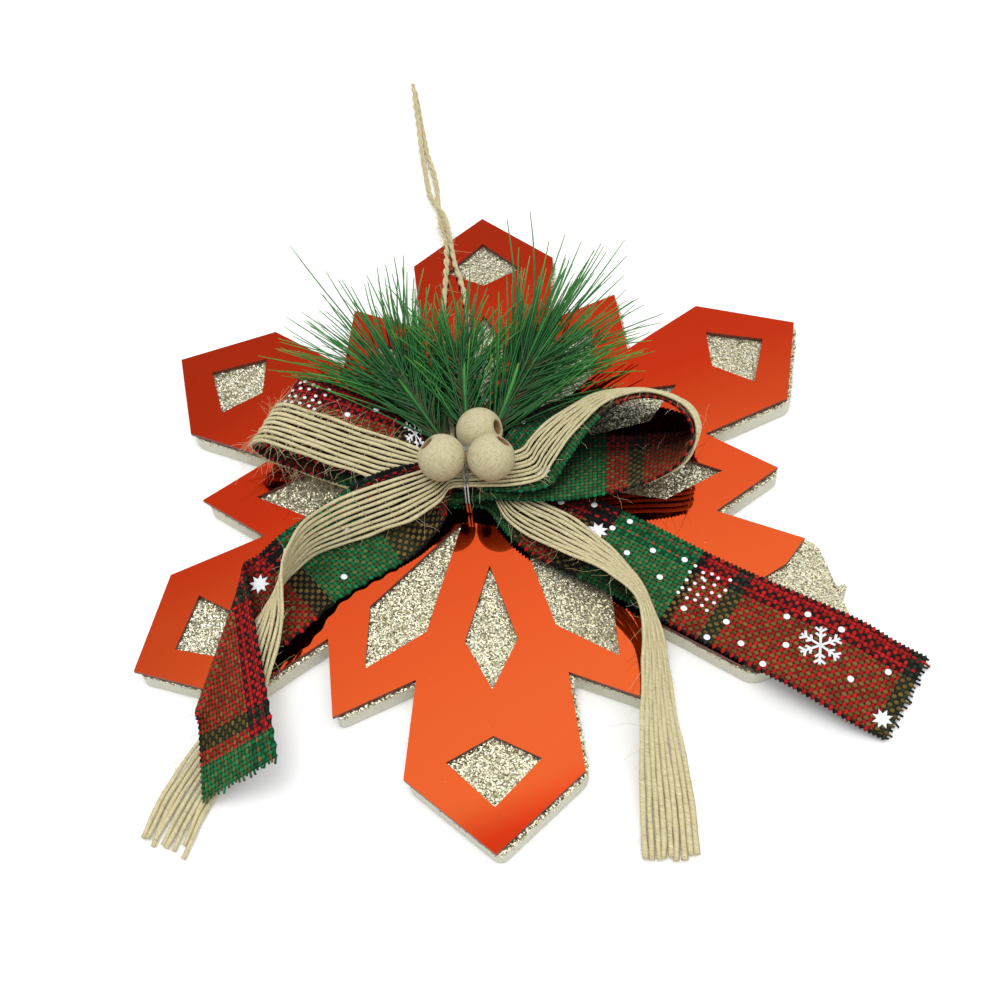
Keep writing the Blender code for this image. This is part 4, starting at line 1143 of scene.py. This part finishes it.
@dataclass
class JuteRibbon:
    """The loose jute ribbon: lengthwise yarns held by thin crosswise ones, frayed at its ends."""

    yarns: int = 9
    yarn_width: float = 1.02
    yarn_thick: float = 0.8
    step: float = 1.5
    cross_pitch: float = 6.5
    cross_half: tuple[float, float] = (0.10, 0.09)
    weave_lift: float = 0.13
    gather_lift: float = 0.35
    cross_lift: float = 0.3
    spread: tuple[tuple[float, ...], tuple[float, ...]] = ((60.0, 100.0, 440.0, 500.0), (1.42, 1.0, 1.0, 1.2))
    sides: int = 6
    fibres: int = 900
    strip: Strip = field(default_factory=lambda: Strip(BowRuns.jute()))

    def build(self) -> None:
        finish = JuteYarn().material()
        cloth = settle(self.cloth(), finish, "jute", "jute_ribbon")
        fuzz = settle(self.fuzz(), finish, "jute")

    def cloth(self) -> Piece:
        """Lay every yarn along the ribbon's run."""
        rng = np.random.default_rng(17)
        heap = Heap()
        for yarn in range(self.yarns):
            self.long_yarn(heap, rng, yarn)
        for k in range(1, int((self.strip.length - 9.0) / self.cross_pitch)):
            self.cross_yarn(heap, rng, k * self.cross_pitch + rng.normal(0.0, 0.25), k % 2)
        return heap.piece("jute_cloth")

    def long_yarn(self, heap: Heap, rng: np.random.Generator, yarn: int) -> None:
        """Lay one lengthwise yarn, over and under the crosswise ones."""
        length, side = self.strip.length, 1 if yarn % 2 else -1
        start, end = rng.random() * 1.4, length - rng.random() * 3.5
        run = np.arange(start, end, self.step)
        share = (yarn + 0.5) / self.yarns - 0.5
        wander = np.interp(run, np.linspace(0, length, 90), rng.normal(0.0, 0.007, 90))
        loose = np.clip((run - length + 12.0) / 12.0, 0.0, 1.0) + np.clip((4.0 - run) / 4.0, 0.0, 1.0) * 0.4
        share = share + wander + loose * rng.normal(0.0, 0.03)
        width = self.strip.row(run)[:, 6]
        crowded = np.clip(np.sqrt(JUTE_WIDTH / width), 1.0, 1.5)
        thick = self.yarn_thick * crowded * (1 + rng.normal(0, 0.05, len(run)))
        wide = self.yarn_width / JUTE_WIDTH * np.interp(run, *self.spread)
        wide = wide * (1 + np.interp(run, np.linspace(0, length, 200), rng.normal(0.0, 0.09, 200)))
        lift = self.weave_lift * np.cos(np.pi * run / self.cross_pitch) * side
        lift = lift + np.clip(1.0 - width / JUTE_WIDTH, 0.0, 1.0) * self.gather_lift * side
        cosines, sines = circle(self.sides)
        shares = share[:, None] + wide[:, None] / 2 * cosines
        rings = self.strip.spot(run[:, None], shares, lift[:, None] + thick[:, None] / 2 * sines)
        turns = np.arange(self.sides) / self.sides + yarn * 3.7
        heap.tube(rings, pairs(turns, run[:, None] + yarn * 31.0))

    def cross_yarn(self, heap: Heap, rng: np.random.Generator, along: float, phase: int) -> None:
        """Lay one thin crosswise yarn, which turns round the edge yarns."""
        shares = np.linspace(-0.495, 0.495, 2 * self.yarns + 1)[:, None]
        lift = self.cross_lift * np.cos(np.pi * (np.arange(len(shares))[:, None] - 1) / 2 + np.pi * phase)
        cosines, sines = circle(4)
        run = along + rng.normal(0.0, 0.4) * shares + self.cross_half[0] * cosines
        rings = self.strip.spot(run, shares, lift + self.cross_half[1] * sines)
        heap.tube(rings, pairs(np.arange(4) / 4 + along, shares * JUTE_WIDTH))

    def fuzz(self) -> Piece:
        """Bend stray fibres out of the ribbon's edges."""
        rng = np.random.default_rng(23)
        heap = Heap()
        for k in range(self.fibres):
            along = rng.normal(182.0, 14.0) if k % 3 == 0 else rng.uniform(5.0, self.strip.length - 5.0)
            share = float(np.sign(rng.normal())) * rng.uniform(0.2, 0.5)
            root, ahead, out = self.strip.spot(
                np.array([along, along + 1.0, along]), np.array([share, share, share * 1.1]),
                np.array([0.2, 0.2, 0.3]),
            )
            heading = unit(unit(out - root) + unit(ahead - root) * rng.normal(0.0, 1.2))
            stray(heap, rng, root, heading, rng.uniform(2.0, 7.5))
        return heap.piece("jute_fuzz", outward=False)


def stray(heap: Heap, rng: np.random.Generator, root: Array, heading: Array, length: float) -> None:
    """Add one thin curved fibre.

    Args:
        heap: Where it goes.
        rng: The piece's source of chance.
        root: Where it starts.
        heading: The way it sets off.
        length: How long it is.
    """
    sag = unit(rng.normal(size=3)) * 0.9 - 0.25 * UP
    curl = unit(rng.normal(size=3)) * length * rng.uniform(0.05, 0.2)
    t = np.linspace(0.0, 1.0, 8)[:, None]
    line = root + heading * length * t + sag * length * t ** 2 * 0.5 + curl * (np.cos(t * 7.0) - 1.0) * t
    on_table = abs(root[0]) > TABLE_X or not TABLE_Y[0] <= root[1] <= TABLE_Y[1]
    line[:, 2] = np.maximum(line[:, 2], 0.2 if on_table else FACE_TOP + 0.15)
    side = unit(np.cross(heading, (0.31, 0.2, 0.93)))
    radius = FIBRE_RADIUS * (1.0 - 0.5 * t)[:, None]
    heap.tube(line[:, None] + radius * ring(3, side, np.cross(heading, side)), (rng.random(), rng.random()))


@dataclass
class HangingTwine:
    """The two-ply jute twine that hangs the ornament."""

    diameter: float = 1.5
    ply_turn: float = 8.0
    ply_radius: float = 0.49
    ply_reach: float = 0.3
    lowest: float = 0.55
    plies: int = 2
    step: float = 0.55
    sides: int = 7
    hairs: int = 380
    frayed: tuple[float, float] = (84.0, 108.0)

    def route(self) -> Array:
        """Return the twine's route: out from the bow, a bight behind the snowflake, and back."""
        face = FACE_TOP + GAP + self.diameter / 2
        low = self.diameter / 2 + 0.05
        high = low + self.diameter + GAP
        return np.array([
            (-8.2, 7.6, face + 0.6), (-8.9, 14.0, face), (-10.2, 30.0, face), (-11.6, 50.0, face),
            (-11.4, 66.0, face), (-10.8, 80.0, face), (-10.9, 89.0, face), (-11.6, 95.5, face * 0.75),
            (-12.9, 101.5, low + 1.6), (-13.4, 107.0, low + 0.1), (-14.0, 113.0, low), (-14.5, 121.0, low),
            (-15.9, 129.5, low), (-17.8, 138.5, low), (-19.2, 148.0, low), (-20.6, 158.0, low),
            (-21.7, 166.4, low + 0.4), (-22.4, 169.6, low + 2.6), (-22.1, 166.6, low + 4.4),
            (-21.3, 158.0, low + 3.4), (-20.3, 148.0, low + 2.2), (-19.4, 138.5, low + 0.9),
            (-18.3, 129.5, low), (-17.2, 121.0, low), (-16.1, 115.5, low + 0.5), (-14.2, 110.8, high + 0.2),
            (-11.9, 106.0, low + 1.4), (-11.2, 101.0, low + 2.6), (-10.6, 95.5, face * 0.92),
            (-9.6, 90.0, face + 0.1), (-8.6, 82.0, face), (-5.4, 66.0, face), (-4.6, 48.0, face),
            (-4.2, 30.0, face), (-3.6, 14.0, face), (-3.4, 7.6, face + 0.6),
        ])

    def build(self) -> None:
        line = smooth_route(self.route(), 10)
        along = distances(line)
        fine = np.arange(0.0, along[-1], self.step)
        path = read_rows(fine, along, line)
        ahead = unit(np.gradient(path, axis=0))
        across = unit(np.cross(ahead, np.cross(UP, ahead)) + 1e-6)
        beside = np.cross(across, ahead)
        rng = np.random.default_rng(29)
        slack = 1.0 + 0.35 * np.interp(fine, np.linspace(0, along[-1], 60), np.abs(rng.normal(0.0, 0.6, 60)))
        heap = Heap()
        for ply in range(self.plies):
            phase = (2 * np.pi * (fine / self.ply_turn + ply / self.plies))[:, None]
            out = np.cos(phase) * across + np.sin(phase) * beside
            centre = path + self.ply_reach * slack[:, None] * out
            centre[:, 2] = np.maximum(centre[:, 2], self.lowest)
            radius = self.ply_radius * (1 + 0.14 * np.sin(fine * 1.7 + ply))
            rings = centre[:, None] + radius[:, None, None] * ring(self.sides, across, beside)
            turns = np.arange(self.sides) / self.sides + ply * 2.3
            heap.tube(rings, pairs(turns, fine[:, None] + 400.0 * ply))
        finish = JuteYarn(name="jute_twine", pale=(0.80, 0.71, 0.44), twist=0.8).material()
        twine = settle(heap.piece("twine_plies"), finish, "jute", "hanging_twine")
        fuzz = settle(self.fuzz(rng, path, ahead), finish, "jute")

    def fuzz(self, rng: np.random.Generator, path: Array, ahead: Array) -> Piece:
        """Bend stray fibres out of the twine, half of them where it is frayed."""
        heap = Heap()
        low, high = self.frayed
        frayed = np.flatnonzero((path[:, 1] > low) & (path[:, 1] < high))
        for k in range(self.hairs):
            spot = rng.choice(frayed) if k % 2 else rng.integers(4, len(path) - 4)
            heading = unit(rng.normal(size=3) + ahead[spot] * rng.normal(0.0, 1.5))
            stray(heap, rng, path[spot], heading, rng.uniform(1.5, 5.0))
        return heap.piece("twine_fuzz", outward=False)


@dataclass
class BeadCluster:
    """The three wooden beads, turned by their yaw and tilt, and the clear glue between them."""

    diameter: float = 12.0
    length: float = 10.6
    bore: float = 3.0
    voxel: float = 0.3
    balls: tuple[tuple[float, ...], ...] = (
        (0.0, 0.0, -0.6, 2.9), (-1.6, 1.2, -0.4, 1.9), (1.5, 1.6, 0.3, 1.8), (0.4, -1.8, -0.2, 1.9),
    )
    headings: dict[str, tuple[float, float]] = field(default_factory=lambda: {
        "bead_left": (150.0, 42.0), "bead_right": (35.0, 40.0), "bead_top": (-10.0, 25.0),
    })

    def build(self) -> None:
        """Build the beads and the glue."""
        for name, heading in self.headings.items():
            centre, axis = self.centre(name), tuple(direction(*heading))
            finish = BareWood(name + "_wood", tuple(centre * MM), axis).material()
            settle(self.bead(name, centre, Vector(axis)), finish, "bead_wood", name)
        settle(self.glue(Vector(self.centre("glue_dab"))), CLEAR_GLUE.material(), "clear_glue", "glue_dab")

    def centre(self, name: str) -> Array:
        """Return the middle of a CAD node."""
        low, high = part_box(name)
        return np.array((low + high) / 2) / MM

    def bead(self, name: str, centre: Array, axis: Vector) -> Piece:
        """Model one bead: a round ball with flat ends and a bore."""
        radius, half = self.diameter / 2, self.length / 2
        Bench.start(bpy.ops.mesh.primitive_uv_sphere_add, segments=40, ring_count=26, radius=radius)
        for sign in (1, -1):
            bpy.ops.mesh.select_all(action="SELECT")
            bpy.ops.mesh.bisect(plane_co=(0, 0, sign * half), plane_no=(0, 0, sign), clear_outer=True)
        Bench.pick(lambda co: abs(co.z) > half - 0.01, "EDGE")
        bpy.ops.mesh.extrude_edges_move()
        share = self.bore / 2 / math.sqrt(radius ** 2 - half ** 2)
        bpy.ops.transform.resize(value=(share, share, 1.0), center_override=(0, 0, 0))
        bpy.ops.mesh.bridge_edge_loops()
        piece = Bench.done(name + "_turned")
        sharp = math.radians(25)
        Bench.modify(piece, "BEVEL", width=0.4, segments=3, limit_method="ANGLE", angle_limit=sharp)
        turn = axis.to_track_quat("Z", "Y").to_matrix().to_4x4()
        piece.data.transform(Matrix.Diagonal((MM, MM, MM, 1.0)) @ Matrix.Translation(Vector(centre)) @ turn)
        Bench.outward(piece)
        piece.data.shade_smooth()
        return piece

    def glue(self, middle: Vector) -> Piece:
        """Melt a few balls of glue into one dab between the beads."""
        Bench.clear()
        made = []
        for *place, radius in self.balls:
            bpy.ops.mesh.primitive_ico_sphere_add(subdivisions=3, radius=radius, location=(0, 0, 0))
            made.append(bpy.context.object)
            made[-1].data.transform(Matrix.Translation(middle + Vector(place)))
        for ball in made:
            ball.select_set(True)
        bpy.context.view_layer.objects.active = made[0]
        bpy.ops.object.join()
        piece = Bench.done("glue_blob")
        Bench.modify(piece, "REMESH", mode="VOXEL", voxel_size=self.voxel)
        Bench.modify(piece, "SMOOTH", factor=0.6, iterations=6)
        piece.data.transform(Matrix.Diagonal((MM, MM, MM, 1.0)))
        piece.data.shade_smooth()
        return piece


@dataclass
class PineSprig:
    """One tuft of soft needles on a short stem."""

    name: str
    place: tuple[float, float, float]
    yaw: float
    tilt: float
    fan: tuple[float, float]
    climb: tuple[float, float]
    reach: tuple[float, float]
    count: int
    seed: int
    stem: float = 24.0
    stem_radius: float = 0.7
    radius: float = 0.23
    lift: float = 4.6

    def build(self, finish: Material) -> None:
        """Fan the needles out of the stem, the outer ones shorter."""
        rng = np.random.default_rng(self.seed)
        needle = self.needle()
        heap = Heap()
        base = BOW + np.array(self.place) + self.lift * UP
        axis = direction(self.yaw, self.tilt)
        self.lay(heap, rng, needle, base, axis * self.stem, self.stem_radius, 0.0)
        for _ in range(self.count):
            up_stem = rng.uniform(0.02, 1.0)
            swing = rng.uniform(*self.fan) * (0.66 + 0.34 * up_stem)
            heading = direction(self.yaw + swing, rng.uniform(*self.climb))
            length = rng.uniform(*self.reach) * (1.0 - 0.0045 * abs(swing))
            length *= 1.1 if rng.random() < 0.04 else 1.0
            root = base + axis * self.stem * up_stem
            self.lay(heap, rng, needle, root, heading * length, self.radius, rng.uniform(-0.12, 0.14))
        settle(heap.piece(self.name + "_needles"), finish, "pine_needles", self.name)

    def needle(self) -> tuple[Array, Faces]:
        """Model one needle of length one along Z, and of radius one at its thickest."""
        Bench.start(bpy.ops.mesh.primitive_circle_add, vertices=4, radius=0.9, fill_type="NGON")
        for rise, share in ((0.1, 1.11), (0.15, 1.0), (0.2, 1.0), (0.2, 0.95), (0.2, 0.88), (0.15, 0.6)):
            bpy.ops.mesh.extrude_region_move(TRANSFORM_OT_translate={"value": (0, 0, rise)})
            bpy.ops.transform.resize(value=(share, share, 1.0))
        return Bench.template("needle")

    @staticmethod
    def lay(
        heap: Heap, rng: np.random.Generator, needle: tuple[Array, Faces], root: Array, run: Array,
        radius: float, sag: float,
    ) -> None:
        """Add one needle that swerves a little and droops towards its tip.

        Args:
            heap: Where it goes.
            rng: The sprig's source of chance.
            needle: The modelled needle's places and faces.
            root: Where it starts.
            run: The way to its tip.
            radius: Its greatest radius.
            sag: How far its tip droops, as a share of its length.
        """
        (x, y, t), faces = needle[0].T[:, :, None], needle[1]
        length = np.linalg.norm(run)
        side = unit(np.cross(run, (0.1, 0.2, 1.0)))
        up = np.cross(side, run / length)
        bend = side * rng.normal(0.0, 0.07) - sag * UP
        places = root + run * t + bend * length * t ** 2 + radius * (x * side + y * up)
        places[:, 2] = np.maximum(places[:, 2], FACE_TOP + GAP)
        heap.add(places, faces, pairs(rng.random(), t[:, 0]))


@dataclass
class Studio:
    """The camera, the pale floor and the soft light."""

    lens: float = 48.59
    sensor: float = 36.0
    eye: tuple[float, float, float] = (16.77, -208.52, 288.42)
    across: tuple[float, float, float] = (0.99763376, -0.02267422, -0.06490585)
    upward: tuple[float, float, float] = (0.05626427, 0.8118043, 0.58121262)
    back: tuple[float, float, float] = (0.03950996, -0.58348937, 0.81115912)
    lean: float = 0.2
    strength: float = 1.8
    patch: tuple[float, float] = (0.916, 0.930)
    dulled: float = 0.76
    lamp: float = 3.0
    lamp_size: float = 0.5
    lamp_place: tuple[float, float, float] = (-0.1, -0.1, 1.0)
    sky: tuple[tuple[float, float], ...] = (
        (0.0, 0.40), (0.35, 0.38), (0.60, 0.36), (0.70, 0.46), (0.716, 0.556), (0.765, 0.624),
        (0.794, 0.711), (0.807, 0.838), (0.83, 0.872), (0.86, 0.935), (0.90, 0.978), (1.0, 0.978),
    )

    def camera(self) -> None:
        """Set up the camera at the photograph's viewpoint."""
        data = bpy.data.cameras.new("camera")
        data.lens = self.lens
        data.sensor_width = self.sensor
        data.clip_start = 0.01
        camera = bpy.data.objects.new("camera", data)
        turn = Matrix((self.across, self.upward, self.back)).transposed().to_4x4()
        camera.matrix_world = Matrix.Translation(Vector(self.eye) * MM) @ turn
        bpy.context.scene.collection.objects.link(camera)
        bpy.context.scene.camera = camera

    def light(self) -> None:
        """Set up the pale surroundings: brightest high up and to the right, with a duller patch overhead."""
        world = bpy.data.worlds.new("studio")
        bpy.context.scene.world = world
        world.use_nodes = True
        nodes = Nodes(world.node_tree)
        x, _, z = nodes.split(nodes.add("TexCoord").outputs["Generated"])
        background = world.node_tree.nodes["Background"]
        greys = [(place, (value, value, value)) for place, value in self.sky]
        nodes.feed(background.inputs[0], nodes.ramp(nodes.line(x, self.lean, z), greys))
        patch = nodes.span(z, *self.patch, self.strength, self.strength * self.dulled)
        nodes.feed(background.inputs[1], patch)
        data = bpy.data.lights.new("softbox", "AREA")
        data.size = self.lamp_size
        data.energy = self.lamp
        lamp = bpy.data.objects.new("softbox", data)
        lamp.location = self.lamp_place
        lamp.rotation_euler = (-Vector(self.lamp_place)).to_track_quat("-Z", "Y").to_euler()
        bpy.context.scene.collection.objects.link(lamp)
        bpy.context.scene.view_settings.view_transform = "Standard"

    def floor(self) -> None:
        """Lay the floor just below the ornament."""
        Bench.clear()
        bpy.ops.mesh.primitive_grid_add(x_subdivisions=8, y_subdivisions=8, size=6.0, location=(0, 0, 0))
        floor = Bench.done("floor")
        floor.data.transform(Matrix.Translation((0, 0, -0.0002)))
        floor.data.materials.append(STUDIO_FLOOR.material())
        floor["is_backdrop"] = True


def write_sizes(cad: Any, visual: Any) -> None:
    def plain(box: Any) -> Any:
        return [plain(part) for part in box] if hasattr(box, "__len__") else float(box)

    {"cad": plain(cad), "visual": plain(visual)}


def main() -> None:
    """Build the ornament's looks, sub-assembly by sub-assembly."""
    logging.basicConfig(level=logging.INFO, format="%(name)s: %(message)s")
    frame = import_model()
    cad_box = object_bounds()
    studio = Studio()
    studio.camera()
    HangingTwine().build()
    Snowflake().build(frame["nodes"])
    PlaidRibbon().build()
    JuteRibbon().build()
    BeadCluster().build()
    pine = PineNeedle().material()
    for row in (
        ("pine_sprig_left", (-4.8, 11.0, 0.0), 122, 17, (-54, 49), (-12, 18), (30, 50), 225, 31),
        ("pine_sprig_middle", (0.6, 12.5, 0.6), 95, 18, (-62, 58), (-8, 20), (20, 35), 190, 37),
        ("pine_sprig_right", (5.4, 11.4, 0.3), 61, 19, (-60, 38), (-4, 19), (30, 50), 225, 41),
    ):
        PineSprig(*row).build(pine)
    dress(frame["nodes"]["tie_wire"], SILVER_WIRE.material())
    studio.light()
    studio.floor()
    write_sizes(cad_box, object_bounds())
    LOG.info("sizes written")


if __name__ == "__main__":
    main()
